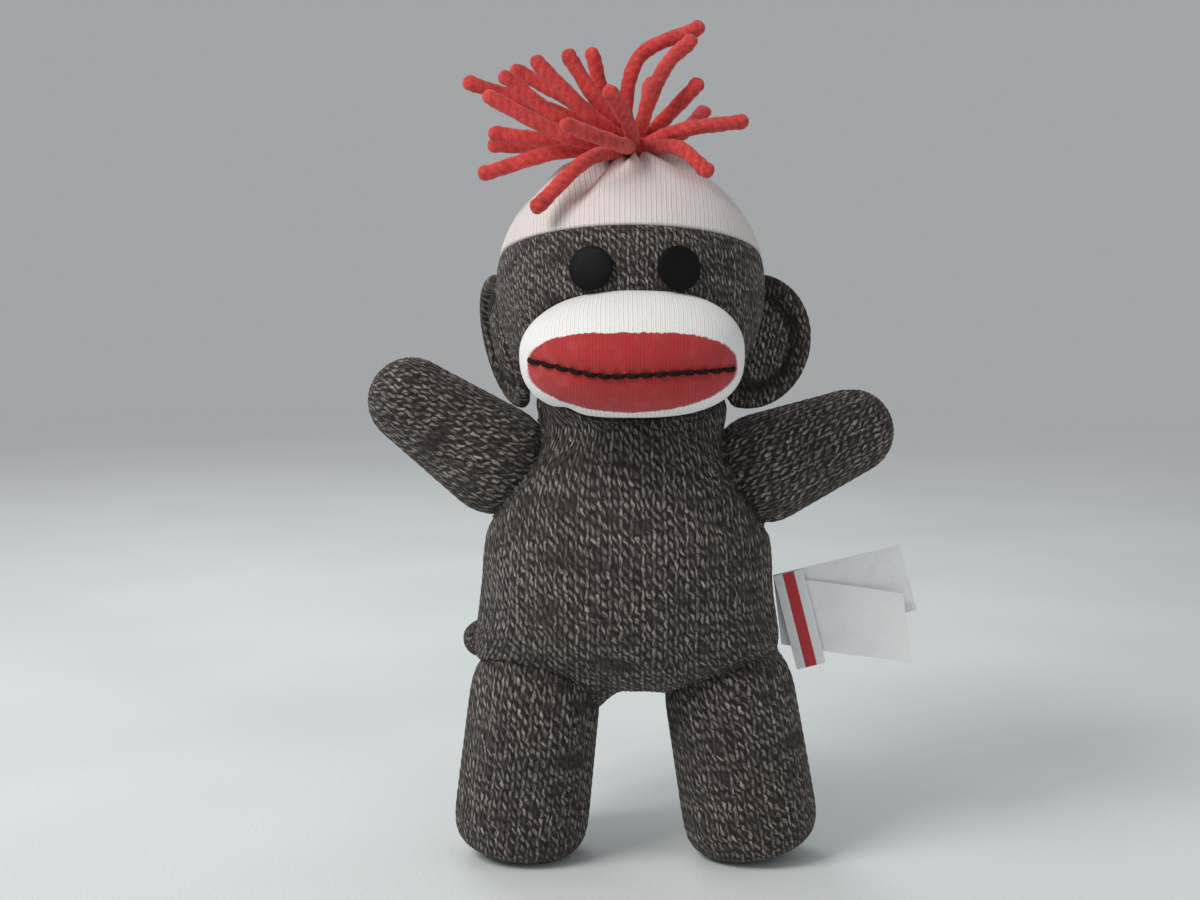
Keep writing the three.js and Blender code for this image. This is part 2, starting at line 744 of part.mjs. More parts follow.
// The frame's origin is under the middle of the whole toy's box
const extent = new THREE.Box3().setFromObject(toy, true);
const middle = extent.getCenter(new THREE.Vector3());
toy.position.set(-middle.x, -middle.y, -extent.min.z);

const part = new THREE.Group();
part.add(toy);

export default part;
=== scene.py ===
import json
import math

import bpy
import numpy as np
from mathutils import Matrix, Vector


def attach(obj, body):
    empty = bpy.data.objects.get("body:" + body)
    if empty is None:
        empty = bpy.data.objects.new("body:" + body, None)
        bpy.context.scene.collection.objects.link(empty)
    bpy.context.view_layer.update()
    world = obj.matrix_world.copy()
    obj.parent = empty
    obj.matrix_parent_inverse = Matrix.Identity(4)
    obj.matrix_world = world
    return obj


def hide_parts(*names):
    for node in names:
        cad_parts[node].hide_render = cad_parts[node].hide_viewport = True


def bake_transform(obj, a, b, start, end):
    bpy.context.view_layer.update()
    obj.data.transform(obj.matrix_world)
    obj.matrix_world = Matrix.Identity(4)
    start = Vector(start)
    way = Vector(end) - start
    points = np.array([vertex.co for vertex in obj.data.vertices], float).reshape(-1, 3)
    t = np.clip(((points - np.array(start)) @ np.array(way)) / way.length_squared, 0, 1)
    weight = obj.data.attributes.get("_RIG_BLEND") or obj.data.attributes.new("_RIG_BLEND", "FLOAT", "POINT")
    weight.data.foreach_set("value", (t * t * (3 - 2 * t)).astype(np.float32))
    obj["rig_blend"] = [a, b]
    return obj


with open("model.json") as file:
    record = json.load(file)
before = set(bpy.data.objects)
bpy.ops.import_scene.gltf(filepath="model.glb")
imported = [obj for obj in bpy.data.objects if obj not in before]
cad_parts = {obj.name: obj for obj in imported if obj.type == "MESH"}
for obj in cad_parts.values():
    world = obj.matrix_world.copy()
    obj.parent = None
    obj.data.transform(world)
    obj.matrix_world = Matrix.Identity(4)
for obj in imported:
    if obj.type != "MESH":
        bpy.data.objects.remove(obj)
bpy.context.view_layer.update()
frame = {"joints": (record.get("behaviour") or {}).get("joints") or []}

# The picture
# A camera a little above the toy's middle, a plain pale floor that runs out into a pale
# background, and soft studio lamps: the main one high on the left, with weaker ones to fill.
mm = 0.001
turning = {joint["name"]: np.array(joint["pos_m"]) / mm for joint in frame["joints"]}
head_centre = turning["head_turn"]
head_shift = 0.6
head_height = 163.0
between_feet = head_centre - np.array([head_shift, 0.0, head_height])

aim_left = 7.89
aim_height = 117.7
looked_at = between_feet + np.array([-aim_left, 0.0, aim_height])
camera_distance = 620.0
camera_rise = math.radians(8)
camera_lens = 66.0
toward_camera = np.array([0.0, -math.cos(camera_rise), math.sin(camera_rise)])
bpy.ops.object.camera_add(
    location=(looked_at + camera_distance * toward_camera) * mm,
    rotation=(math.radians(90) - camera_rise, 0, 0),
)
camera = bpy.context.object
camera.data.lens = camera_lens
camera.data.sensor_width = 36
bpy.context.scene.camera = camera
bpy.context.scene.view_settings.view_transform = "Standard"


def tone(red, green, blue, alpha=1.0):
    """A colour as it is seen on a screen, from 0 to 255, as the light values that shaders use."""
    shares = [value / 255 for value in (red, green, blue)]
    return [s / 12.92 if s <= 0.04045 else ((s + 0.055) / 1.055) ** 2.4 for s in shares] + [alpha]


class Wire:
    """A value in a material's nodes, so that shader maths reads as plain sums and products."""

    def __init__(self, tree, socket=None):
        self.tree = tree
        self.socket = socket

    def node(self, kind, settings=None, values=None, output=0):
        made = self.tree.nodes.new(kind)
        for name, setting in (settings or {}).items():
            setattr(made, name, setting)
        for place, value in (values or {}).items():
            if isinstance(value, Wire):
                self.tree.links.new(value.socket, made.inputs[place])
            else:
                made.inputs[place].default_value = value
        return Wire(self.tree, made.outputs[output])

    def maths(self, operation, *values):
        return self.node("ShaderNodeMath", {"operation": operation}, dict(enumerate(values)))

    def __add__(self, other):
        return self.maths("ADD", self, other)

    def __radd__(self, other):
        return self.maths("ADD", other, self)

    def __sub__(self, other):
        return self.maths("SUBTRACT", self, other)

    def __rsub__(self, other):
        return self.maths("SUBTRACT", other, self)

    def __mul__(self, other):
        return self.maths("MULTIPLY", self, other)

    def __rmul__(self, other):
        return self.maths("MULTIPLY", other, self)

    def __truediv__(self, other):
        return self.maths("DIVIDE", self, other)

    def __pow__(self, other):
        return self.maths("POWER", self, other)

    def twin(self, output):
        """Another output of the node that this value comes from."""
        return Wire(self.tree, self.socket.node.outputs[output])

    def between(self, low, high):
        """0 below low, 1 above high, and smooth between them."""
        settings = {"interpolation_type": "SMOOTHSTEP"}
        return self.node("ShaderNodeMapRange", settings, {0: self, 1: low, 2: high})

    def blend(self, first, second):
        """The first colour where this value is 0 and the second where it is 1."""
        return self.node("ShaderNodeMix", {"data_type": "RGBA"}, {0: self, 6: first, 7: second}, 2)

    def map(self, name):
        return self.node("ShaderNodeUVMap", {"uv_map": name})

    def on_object(self):
        """A place in the object's own frame, in metres."""
        return self.node("ShaderNodeTexCoord", output=3)

    def point(self, *coordinates):
        return self.node("ShaderNodeCombineXYZ", values=dict(enumerate(coordinates)))

    def part(self, which=0):
        """One coordinate of a place."""
        return self.node("ShaderNodeSeparateXYZ", values={0: self}, output=which)

    def random(self, place, output=0):
        """A random value for each place or, at output 1, three of them."""
        return self.node("ShaderNodeTexWhiteNoise", {"noise_dimensions": "3D"}, {"Vector": place}, output)

    def noise(self, place, scale, detail):
        return self.node("ShaderNodeTexNoise", values={"Vector": place, "Scale": scale, "Detail": detail})

    def bump(self, height, depth, strength):
        values = {"Strength": strength, "Distance": depth * mm, "Height": height}
        return self.node("ShaderNodeBump", values=values)

    def feed(self, surface, socket):
        self.tree.links.new(self.socket, surface.inputs[socket])


def new_material(name, roughness, values=None):
    """A material, its wires and its surface shader, with values for that shader's sockets."""
    material = bpy.data.materials.new(name)
    material.use_nodes = True
    surface = material.node_tree.nodes["Principled BSDF"]
    for socket, value in {"Roughness": roughness, **(values or {})}.items():
        surface.inputs[socket].default_value = value
    return material, Wire(material.node_tree), surface


background_tone = tone(163, 165, 167)
floor_reach = 3.0


def pale_floor():
    material, wires, surface = new_material("pale_floor", 0.9)
    place = wires.on_object()
    nap = wires.noise(place, 900.0, 3.0)
    # Partly painted shade: broad, faint patches, lighter and darker, as soft folds in the cloth would show in
    # light; the nap is the cloth's own fine grain.
    fold_shade = wires.noise(place, 9.0, 1.0)
    shade = (nap * 0.35 + fold_shade * 0.65).between(0.3, 0.7)
    shade.blend(tone(219, 226, 225), tone(229, 235, 234)).feed(surface, "Base Color")
    wires.bump(nap, 0.6, 0.25).feed(surface, "Normal")
    distance = wires.node("ShaderNodeVectorMath", {"operation": "LENGTH"}, {0: place}, 1)
    camera_ray = wires.node("ShaderNodeLightPath")
    clear = wires.maths("MAXIMUM", camera_ray, camera_ray.twin("Is Glossy Ray"))
    far = distance.between(0.25, 1.2) * clear
    glow = wires.node("ShaderNodeEmission", values={"Color": background_tone, "Strength": 1.0})
    lit = Wire(wires.tree, surface.outputs[0])
    mixed = wires.node("ShaderNodeMixShader", values={0: far, 1: lit, 2: glow})
    mixed.feed(wires.tree.nodes["Material Output"], 0)
    return material


bpy.ops.object.select_all(action="DESELECT")
bpy.ops.mesh.primitive_circle_add(vertices=96, radius=floor_reach, fill_type="NGON")
floor = bpy.context.object
floor.name = "floor"
floor.data.materials.append(pale_floor())

world = bpy.data.worlds.new("studio")
bpy.context.scene.world = world
world.use_nodes = True
air = Wire(world.node_tree)
camera_ray = air.node("ShaderNodeLightPath")
clear = air.maths("MAXIMUM", camera_ray, camera_ray.twin("Is Glossy Ray"))
clear = air.maths("MAXIMUM", clear, camera_ray.twin("Is Transmission Ray"))
soft = air.node("ShaderNodeBackground", values={"Color": (0.94, 0.97, 1.0, 1.0), "Strength": 0.4})
pale = air.node("ShaderNodeBackground", values={"Color": background_tone, "Strength": 1.0})
both = air.node("ShaderNodeMixShader", values={0: clear, 1: soft, 2: pale})
both.feed(world.node_tree.nodes["World Output"], 0)

for name, away, size, power, colour in (
    ("main_lamp", (-560, -470, 620), 400, 5.5, (1.0, 0.985, 0.96)),
    ("side_lamp", (620, -520, 260), 500, 0.36, (0.97, 0.985, 1.0)),
    ("back_lamp", (-250, 620, 480), 420, 1.6, (1.0, 1.0, 1.0)),
):
    place = looked_at + np.array(away, float)
    aim = Vector(looked_at - place).to_track_quat("-Z", "Y").to_euler()
    bpy.ops.object.light_add(type="AREA", location=place * mm, rotation=aim)
    lamp = bpy.context.object
    lamp.name = name
    lamp.data.size = size * mm
    lamp.data.energy = power
    lamp.data.color = colour


# Torso
# A pear of brown and white marled knit, cut as a front and a back panel, sewn up the sides and
# stuffed with loose fibre. Hollows take the round roots of the head, the arms, the legs and the tail.
belly_half_width = 41.3
belly_half_depth = 33.0
belly_height = 82.0
torso_bottom = 49.5
torso_top = 132.5
neck_half_width = 22.5
lower_power = 2.3
upper_power = 1.25
shoulder_top = 131.5
shoulder_half_width = 30.0
shoulder_rise = 3.0
hip_power = 3.2
hip_slope = 0.12
hip_run_start = 28.0
hip_run_fade = 8.0
belly_cut = 0.2
belly_cut_drop = 12.0
belly_cut_fade = 14.0
shoulder_cut = 0.36
shoulder_cut_rise = 12.0
shoulder_cut_fade = 24.0
shoulder_slope_drop = 22.0
shoulder_slope_fade = 13.0
collar_rise = 2.0
collar_fade = 6.0
shoulder_rise_fade = 14.0
least_flatness = 0.5
root_gap = 0.4
marl_wale = 3.05
marl_course = 3.0
marl_relief = 0.3
leg_climb = 1.5
seam_groove = 0.7
seam_reach = 1.3
head_radius = 37.5
arm_root_radius = 15.8
leg_root_radius = 18.8
tail_radius = 5.5
fork_width = 8.0
fork_rise = 8.0
fork_fade = 7.0
fullest_swell = 1.3
cloth_frames = 20
# Painted shade under the head and round the arm roots: how dark, over which levels, and how far from the
# roots.
neck_shade = 0.6
neck_shade_drop = 13.0
neck_shade_fade = 14.0
arm_root_shade = 0.5
arm_root_shade_reach = 3.5


def read_all(items, field, width=1, kind=float):
    """One field of all of a mesh's vertices, corners or faces."""
    flat = np.empty(len(items) * width, kind)
    items.foreach_get(field, flat)
    return flat.reshape(-1, width) if width > 1 else flat


def points_of(piece):
    return read_all(piece.data.vertices, "co", 3) / mm


def move_points(piece, points):
    piece.data.vertices.foreach_set("co", (np.asarray(points) * mm).ravel())
    piece.data.update()


def normals_of(piece):
    return read_all(piece.data.vertex_normals, "vector", 3)


def rising(value, start, run):
    """0 before a start, 1 a run beyond it, and even between them; with a run below 0 it falls."""
    return np.clip((value - start) / run, 0, 1)


def eased(share):
    return share**2 * (3 - 2 * share)


def shaped_ball(name, around, rings, shape):
    """A closed skin: a ball whose meridians and rings go where the shape puts them."""
    bpy.ops.object.select_all(action="DESELECT")
    bpy.ops.mesh.primitive_uv_sphere_add(segments=around, ring_count=rings, radius=mm)
    piece = bpy.context.object
    piece.name = name
    piece.data.name = name
    piece.data.uv_layers[0].name = "OFBake"
    unit = points_of(piece)
    angle = np.arctan2(unit[:, 0], -unit[:, 1])
    share = 1 - np.arccos(np.clip(unit[:, 2], -1, 1)) / math.pi
    move_points(piece, shape(angle, share))
    bpy.ops.object.shade_smooth()
    return piece


def at_even_steps(rows, count, traced=None):
    """Rows of values at even steps along the line that they, or other points, trace, and its length."""
    steps = np.linalg.norm(np.diff(rows if traced is None else traced, axis=0), axis=1)
    run = np.concatenate([[0], np.cumsum(steps)])
    even = np.linspace(0, run[-1], count)
    return [np.interp(even, run, column) for column in rows.T], run[-1]


def even_outline(points):
    """An outline of radius and level at even steps, and its length."""
    (radius, level), length = at_even_steps(np.array(points, float), 600)
    return radius, level, length


def at_share(values, share):
    return np.interp(share, np.linspace(0, 1, len(values)), values)


def spun_skin(name, around, rings, outline, axes, centre):
    """A closed skin with one outline all round its third axis, from its low pole to its high one."""
    radius, level, _ = outline

    def shape(angle, share):
        out = at_share(radius, share)
        local = np.stack([out * np.sin(angle), -out * np.cos(angle), at_share(level, share)], 1)
        return local @ axes + centre

    return shaped_ball(name, around, rings, shape)


def swell(piece, held, most):
    """Fills a sewn skin: cloth under pressure from inside, held at its seams, with a cap on its way."""
    start = points_of(piece)
    larger = 10
    move_points(piece, start * larger)
    group = piece.vertex_groups.new(name="held")
    group.add([int(i) for i in np.nonzero(held)[0]], 1.0, "REPLACE")
    cloth = piece.modifiers.new("stuffing", "CLOTH")
    cloth.settings.quality = 5
    cloth.settings.mass = 0.3
    cloth.settings.tension_stiffness = 20
    cloth.settings.compression_stiffness = 20
    cloth.settings.bending_stiffness = 0.5
    cloth.settings.use_pressure = True
    cloth.settings.uniform_pressure_force = 4
    cloth.settings.vertex_group_mass = "held"
    cloth.settings.effector_weights.gravity = 0
    for number in range(1, cloth_frames + 1):
        bpy.context.scene.frame_set(number)
    seen = piece.evaluated_get(bpy.context.evaluated_depsgraph_get())
    moved = points_of(seen) / larger - start
    piece.modifiers.remove(cloth)
    piece.vertex_groups.clear()
    bpy.context.scene.frame_set(1)
    length = np.linalg.norm(moved, axis=1, keepdims=True)
    move_points(piece, start + moved * np.minimum(1, most / np.maximum(length, 1e-9)))


def smooth_out(piece, levels):
    """Subdivides a skin and shades it smooth."""
    modifier = piece.modifiers.new("smooth", "SUBSURF")
    modifier.levels = levels
    modifier.render_levels = levels
    modifier.uv_smooth = "NONE"
    bpy.ops.object.select_all(action="DESELECT")
    piece.select_set(True)
    bpy.context.view_layer.objects.active = piece
    bpy.ops.object.modifier_apply(modifier=modifier.name)
    bpy.ops.object.shade_smooth()


def corners_of(piece):
    """For each face corner: its vertex, its angle from the front, its share of the way up and its face."""
    mesh = piece.data
    vertex = read_all(mesh.loops, "vertex_index", kind=int)
    uv = read_all(mesh.uv_layers["OFBake"].data, "uv", 2)
    angle = (2 * math.pi * (uv[:, 0] - 0.25) + math.pi) % (2 * math.pi) - math.pi
    total = read_all(mesh.polygons, "loop_total", kind=int)
    face = np.repeat(np.arange(len(total)), total)
    return vertex, angle, uv[:, 1], face


def at_vertices(piece, vertex, values):
    """Values at face corners as their mean at each vertex."""
    count = len(piece.data.vertices)
    sums = np.bincount(vertex, values, count)
    return sums / np.maximum(np.bincount(vertex, minlength=count), 1)


def panel_angle(angle, face):
    """The angle from the middle of the front panel or, for faces at the back, of the back panel."""
    count = np.maximum(np.bincount(face), 1)
    front = (np.bincount(face, np.cos(angle)) / count)[face] >= 0
    side = np.sign((np.bincount(face, np.sin(angle)) / count)[face])
    past_side = np.abs(angle) > math.pi / 2 + 1e-6
    at_front = np.where(past_side, side * math.pi / 2, angle)
    at_back = (angle + 2 * math.pi) % (2 * math.pi) - math.pi
    short = np.abs(at_back) > math.pi / 2 + 1e-6
    at_back = np.where(short, -side * math.pi / 2, at_back)
    return np.where(front, at_front, at_back), front


def store_map(piece, name, across, up):
    """Keeps two values for each face corner as a UV map that a material reads by name."""
    layer = piece.data.uv_layers.new(name=name)
    layer.data.foreach_set("uv", np.stack([across, up], 1).astype(np.float32).ravel())
    piece.data.uv_layers.active_index = 0
    piece.data.uv_layers["OFBake"].active_render = True


def stitch_height(across, up):
    """The relief of stockinette: two leaning legs for each stitch, raised as the yarn is."""
    off = np.abs(across - np.floor(across) - 0.5)
    rise = up - leg_climb * off
    along = rise - np.floor(rise)
    leg = (off - 0.25) / 0.25
    return np.sqrt(np.maximum(0, 1 - leg**2)) * (0.55 + 0.45 * np.sin(math.pi * along))


def raise_stitches(piece, across, up, vertex, relief):
    """Lays stitches on a skin: a map for the yarn's colours, and the yarn's relief in the mesh."""
    store_map(piece, "stitches", across, up)
    height = at_vertices(piece, vertex, (stitch_height(across, up) - 0.5) * relief)
    move_points(piece, points_of(piece) + normals_of(piece) * height[:, None])


def sink_seam(piece, vertex, distance, groove=seam_groove, reach=seam_reach):
    """Draws a skin in along a seam, by the distance of each corner from it."""
    near = at_vertices(piece, vertex, np.exp(-((distance / reach) ** 2)))
    move_points(piece, points_of(piece) - normals_of(piece) * (near * groove)[:, None])


def hollow_out(points, centre, radius, inward, rim, depth, puckers):
    """Presses a skin onto a round root and draws the rim in, in small gathers, as thread does."""
    inward = np.array(inward, float) / np.linalg.norm(inward)
    away = points - centre
    along = away @ inward
    distance = np.linalg.norm(away, axis=1)
    near = np.clip(1 - (distance - radius) / rim, 0, 1) * (distance >= radius)
    first = np.cross(inward, [0.0, 1.0, 0.0] if abs(inward[1]) < 0.9 else [1.0, 0.0, 0.0])
    first /= np.linalg.norm(first)
    second = np.cross(inward, first)
    turn = np.arctan2(away @ second, away @ first)
    gather = 1 + 0.3 * np.cos(puckers * turn + 1.7 * np.sin(3 * turn)) + 0.15 * np.sin(7 * turn)
    moved = points + inward * (depth * near**2 * gather)[:, None]
    inside = distance < radius
    far = -along + np.sqrt(np.maximum(0, along**2 - distance**2 + radius**2))
    return moved + inward * (far * inside)[:, None]


def paint_shade(piece, amount):
    """Stores painted shade at each vertex: how far the marled knit darkens there towards near black."""
    painted_shade = piece.data.attributes.new("painted_shade", "FLOAT", "POINT")
    painted_shade.data.foreach_set("value", np.asarray(amount, np.float32))


def stitch_legs(wires, across, up, fullness):
    """From a place in columns and rows: the column, the place in it from its middle, how far off the
    middle that is, and the height of the yarn."""
    column = wires.maths("FLOOR", across)
    inside = across - column - 0.5
    off = wires.maths("ABSOLUTE", inside)
    rise = up - leg_climb * off
    along = rise - wires.maths("FLOOR", rise)
    leg = (off - 0.25) * 4.0
    ridge = wires.maths("SQRT", wires.maths("MAXIMUM", 1.0 - leg * leg, 0.0))
    bead = ridge * (1.0 - fullness + fullness * wires.maths("SINE", along * math.pi))
    return column, inside, off, bead


def marled_knit():
    """Ragg yarn of dark brown and off-white plies. In each leg of a stitch a light ply shows as a
    short dash: nearly upright in the right legs and slanted in the left ones."""
    sheen = {"Sheen Weight": 0.06, "Sheen Roughness": 0.5}
    material, wires, surface = new_material("marled_knit", 0.92, sheen)
    place = wires.map("stitches")
    body = wires.on_object()
    drift = wires.noise(place, 0.4, 1.0)
    wander = wires.noise(place, 1.7, 1.0)
    sway = (drift - 0.5) * 0.5 + (wander - 0.5) * 0.45
    across = place.part() + sway
    up = place.part(1)
    column, inside, off, bead = stitch_legs(wires, across, up, 0.22)
    right = wires.maths("GREATER_THAN", inside, 0.0)
    step = wires.random(wires.point(column, right * 3.0))
    climbed = up + step * 0.9 + (drift - 0.5) * 1.2
    dash_row = wires.maths("FLOOR", climbed)
    first = wires.random(wires.point(column, dash_row, right * 3.0), 1).part()
    aside = (off - 0.25) * (right * 2.0 - 1.0) * marl_wale + (first - 0.5) * 0.4
    above = (climbed - dash_row - 0.5) * marl_course + (first.twin(1) - 0.5) * 0.5
    lean = math.radians(32) - right * math.radians(20) + (first.twin(1) - 0.5) * 0.35
    sine = wires.maths("SINE", lean)
    cosine = wires.maths("COSINE", lean)
    fray = wires.noise(body, 1500.0, 2.0)
    beside = aside * cosine + above * sine
    beyond = above * cosine - aside * sine
    lay = wires.point(beside * 3.4, beyond * 0.55, first.twin(2) * 37.0 + column)
    strand = wires.noise(lay, 1.0, 2.0).between(0.36, 0.66)
    crosswise = beside / 0.58 + (fray - 0.5) * 0.5
    lengthwise = beyond / 2.0 + (fray - 0.5) * 0.3
    dash = (1.0 - crosswise * crosswise - lengthwise * lengthwise).between(0.0, 0.9) * (strand * 0.9 + 0.1)
    streak = wires.noise(wires.point(across * 0.12, up * 0.6), 1.0, 1.0)
    patch = wires.noise(body, 45.0, 2.0)
    chance = first.twin(2) + (patch - 0.5) * 0.5 + (streak - 0.5) * 2.0
    shown = chance.between(-0.35, 1.0 - right * 0.1)
    fibre = wires.noise(body, 3800.0, 2.0)
    light = dash * (shown * 0.9 + 0.08) * (0.7 + 0.55 * fibre)
    dark = wires.noise(body, 620.0, 2.0).between(0.35, 0.7).blend(tone(27, 19, 17), tone(56, 45, 41))
    colour = light.blend(dark, tone(176, 165, 158))
    # Painted shade: the knit darkens to near black in the gaps between the legs and rows of its stitches.
    shaded = bead.between(-0.15, 0.75).blend(tone(17, 14, 13), colour)
    # Painted shade that each piece stores: under the head, round the arm roots and in the ears' grooves.
    painted_shade = wires.node("ShaderNodeAttribute", {"attribute_name": "painted_shade"}, output=2)
    shaded = painted_shade.blend(shaded, tone(15, 12, 11))
    warmth = wires.noise(body, 28.0, 1.0).between(0.35, 0.7)
    tint = warmth.blend((1.0, 0.985, 0.99, 1.0), (1.0, 0.97, 0.9, 1.0))
    multiplied = {"data_type": "RGBA", "blend_type": "MULTIPLY"}
    tinted = wires.node("ShaderNodeMix", multiplied, {0: 1.0, 6: shaded, 7: tint}, 2)
    tinted.feed(surface, "Base Color")
    height = bead * 0.6 + dash * shown * 0.25 + fibre * 0.15
    wires.bump(height, 0.55, 0.8).feed(surface, "Normal")
    return material


def pear(level, top, neck, power):
    """The pear's half width at a level, for a height, a neck and a fullness of the hips."""
    below = np.clip((belly_height - level) / (belly_height - torso_bottom), 0, 1)
    above = np.clip((level - belly_height) / (top - belly_height), 0, 1)
    upper = neck + (belly_half_width - neck) * np.cos(above * math.pi / 2) ** upper_power
    return np.where(level < belly_height, belly_half_width * (1 - below**power) ** (1 / power), upper)


def torso_outline():
    low = belly_height - (belly_height - torso_bottom) * np.sin(np.linspace(math.pi / 2, 0, 80))
    level = np.concatenate([low, np.linspace(belly_height, shoulder_top, 60)[1:]])
    out = pear(level, shoulder_top, shoulder_half_width, hip_power)
    return even_outline(np.vstack([np.stack([out, level], 1), [[0.0, shoulder_top]]]))


def torso_flatness(level):
    """Depth over width: the front and back are cut to the pear, and the sides are fuller."""
    deep = pear(level, torso_top, neck_half_width, lower_power) * belly_half_depth / belly_half_width
    wide = pear(level, shoulder_top, shoulder_half_width, hip_power)
    return np.clip(deep / np.maximum(wide, 1e-6), least_flatness, 1)


def torso_shape(angle, share):
    """The pear, with its sides run down straight onto the legs and its front cut back over them."""
    wide, level = at_share(torso_radius, share), at_share(torso_level, share)
    deep = wide * torso_flatness(level)
    beside = eased(rising(np.abs(np.sin(angle)), 0.5, 0.5))
    outer = eased(rising(wide, hip_run_start, hip_run_fade)) * (level < belly_height)
    wide = wide + (belly_half_width + hip_slope * (belly_height - level) - wide) * outer * beside
    over_leg = rising(level, belly_height - belly_cut_drop, -belly_cut_fade)
    over_leg = over_leg * rising(np.sin(angle), 0, -1 / 3)
    deep = deep * (1 - belly_cut * over_leg * (np.cos(angle) > 0))
    by_arm = rising(level, belly_height + shoulder_cut_rise, shoulder_cut_fade)
    by_arm = by_arm * np.clip(1.6 * np.sin(np.abs(angle) + 0.6) - 0.5, 0, 1)
    slope = rising(level, shoulder_top - shoulder_slope_drop, shoulder_slope_fade)
    slope = slope * rising(level, shoulder_top + collar_rise, -collar_fade)
    by_arm = by_arm * np.where(angle < 0, 1 + 0.6 * slope, 0.85 + 0.35 * slope)
    deep = deep * (1 - shoulder_cut * by_arm)
    wide = wide * (1 - shoulder_cut * (0.22 + slope * np.where(angle < 0, 0.28, 0.12)) * by_arm)
    near_top = rising(level, shoulder_top - shoulder_rise_fade, shoulder_rise_fade)
    level = level + shoulder_rise * near_top**2 * np.sin(angle) ** 8
    return np.stack([wide * np.sin(angle), -deep * np.cos(angle), level], 1) + between_feet


marl = marled_knit()
torso_radius, torso_level, torso_length = torso_outline()
torso = shaped_ball("torso", 48, 32, torso_shape)
level = points_of(torso)[:, 2]
seam = np.abs(points_of(torso)[:, 1] - between_feet[1]) < 0.5
swell(torso, (level > torso_top - 8) | (level < torso_bottom + 4) | seam, fullest_swell)
smooth_out(torso, 3)
vertex, angle, share, face = corners_of(torso)
turned, front = panel_angle(angle, face)
wide = at_share(torso_radius, share)
deep = wide * torso_flatness(at_share(torso_level, share))
sink_seam(torso, vertex, deep * (math.pi / 2 - np.abs(turned)))
skin = points_of(torso)
belly_middle = between_feet + np.array([0.0, 0.0, belly_height])
for joint, radius, rim, depth, puckers in (
    ("head_turn", head_radius, 5.0, 1.0, 31),
    ("right_arm_raise", arm_root_radius, 5.0, 1.6, 17),
    ("left_arm_raise", arm_root_radius, 5.0, 2.0, 19),
    ("right_leg_swing", leg_root_radius, 5.0, 0.5, 23),
    ("left_leg_swing", leg_root_radius, 6.0, 1.6, 21),
    ("tail_wag", tail_radius, 2.5, 0.6, 9),
):
    inward = [0.0, -1.0, 0.0] if joint == "tail_wag" else belly_middle - turning[joint]
    skin = hollow_out(skin, turning[joint], radius + root_gap, inward, rim, depth, puckers)
for joint, side, drop in (("right_leg_swing", -1, 5.5), ("left_leg_swing", 1, 2.0)):
    inner = (turning[joint][0] - skin[:, 0]) * side
    from_leg = np.hypot(inner, skin[:, 1] - turning[joint][1]) - leg_root_radius - root_gap
    web = rising(from_leg, fork_width, -fork_width) ** 2 * rising(from_leg, -0.6, 0.6)
    web *= np.clip(inner / leg_root_radius * 1.6 - 0.4, 0, 1)
    web *= rising(skin[:, 2], torso_bottom + fork_rise, -fork_fade)
    skin[:, 2] -= drop * web
# Soft dents where the labels are sewn in, under the left arm and round the right shoulder.
for place, push, reach in (
    ((belly_half_width, 4.0, 77.0), (-0.8, 0.0, 0.0), 9.0),
    ((38.3, 7.6, 96.0), (-0.7, 0.0, -0.3), 8.0),
    ((-26.3, 5.5, 102.5), (0.5, 0.0, -0.3), 6.0),
):
    near = np.exp(-(np.linalg.norm(skin - between_feet - np.array(place), axis=1) / reach) ** 2)
    skin += np.outer(near, push)
move_points(torso, skin)
run = (wide + deep) / 2 * turned + (wide - deep) / 4 * np.sin(2 * turned)
raise_stitches(torso, run / marl_wale + np.where(front, 0.5, 60.5), share * torso_length / marl_course,
               vertex, marl_relief)
# Painted shade: darker towards the top under the head, and round the roots of the arms.
torso_shade = neck_shade * rising(skin[:, 2], shoulder_top - neck_shade_drop, neck_shade_fade) ** 2
for joint in ("right_arm_raise", "left_arm_raise"):
    from_root = np.linalg.norm(skin - turning[joint], axis=1) - arm_root_radius - root_gap
    near = np.exp(-((np.maximum(from_root, 0) / arm_root_shade_reach) ** 2))
    torso_shade = np.maximum(torso_shade, arm_root_shade * near)
paint_shade(torso, torso_shade)
torso.data.materials.append(marl)
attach(torso, "torso")
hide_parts("torso_skin", "torso_stuffing")


# Arms and legs
# Four stubs of the same marled knit, each a front and a back panel sewn up its sides, turned and
# stuffed. Their round roots are gathered with thread and sewn into the torso; the feet rest flat.
sole_softness = 0.3
thigh_top = 3.0
thigh_bottom = 22.0
fullest_thigh = 5.0
thigh_reach = 17.0
thigh_start = -14.0
thigh_fade = 9.0
arm_outline_sizes = {"root": arm_root_radius, "tip": 12.4, "reach": 29.0, "cap": 12.4, "power": 2.0}
leg_outline_sizes = {"root": leg_root_radius, "tip": 19.4, "reach": 32.0, "cap": 15.0, "power": 3.4}


def limb_outline(root, tip, reach, cap, power):
    bend = np.linspace(0, math.pi / 2, 60)
    ball = np.stack([root * np.sin(bend), -root * np.cos(bend)], 1)
    out = tip * np.maximum(0, np.cos(bend)) ** (2 / power)
    end = np.stack([out, reach + cap * np.sin(bend) ** (2 / power)], 1)
    return even_outline(np.vstack([ball, end]))


def standing(outward):
    """The axes of a piece that points outward: across, to the back, and outward."""
    ahead = np.array(outward, float) / np.linalg.norm(outward)
    across = np.cross([0.0, 1.0, 0.0], ahead)
    across /= np.linalg.norm(across)
    return np.stack([across, np.cross(ahead, across), ahead])


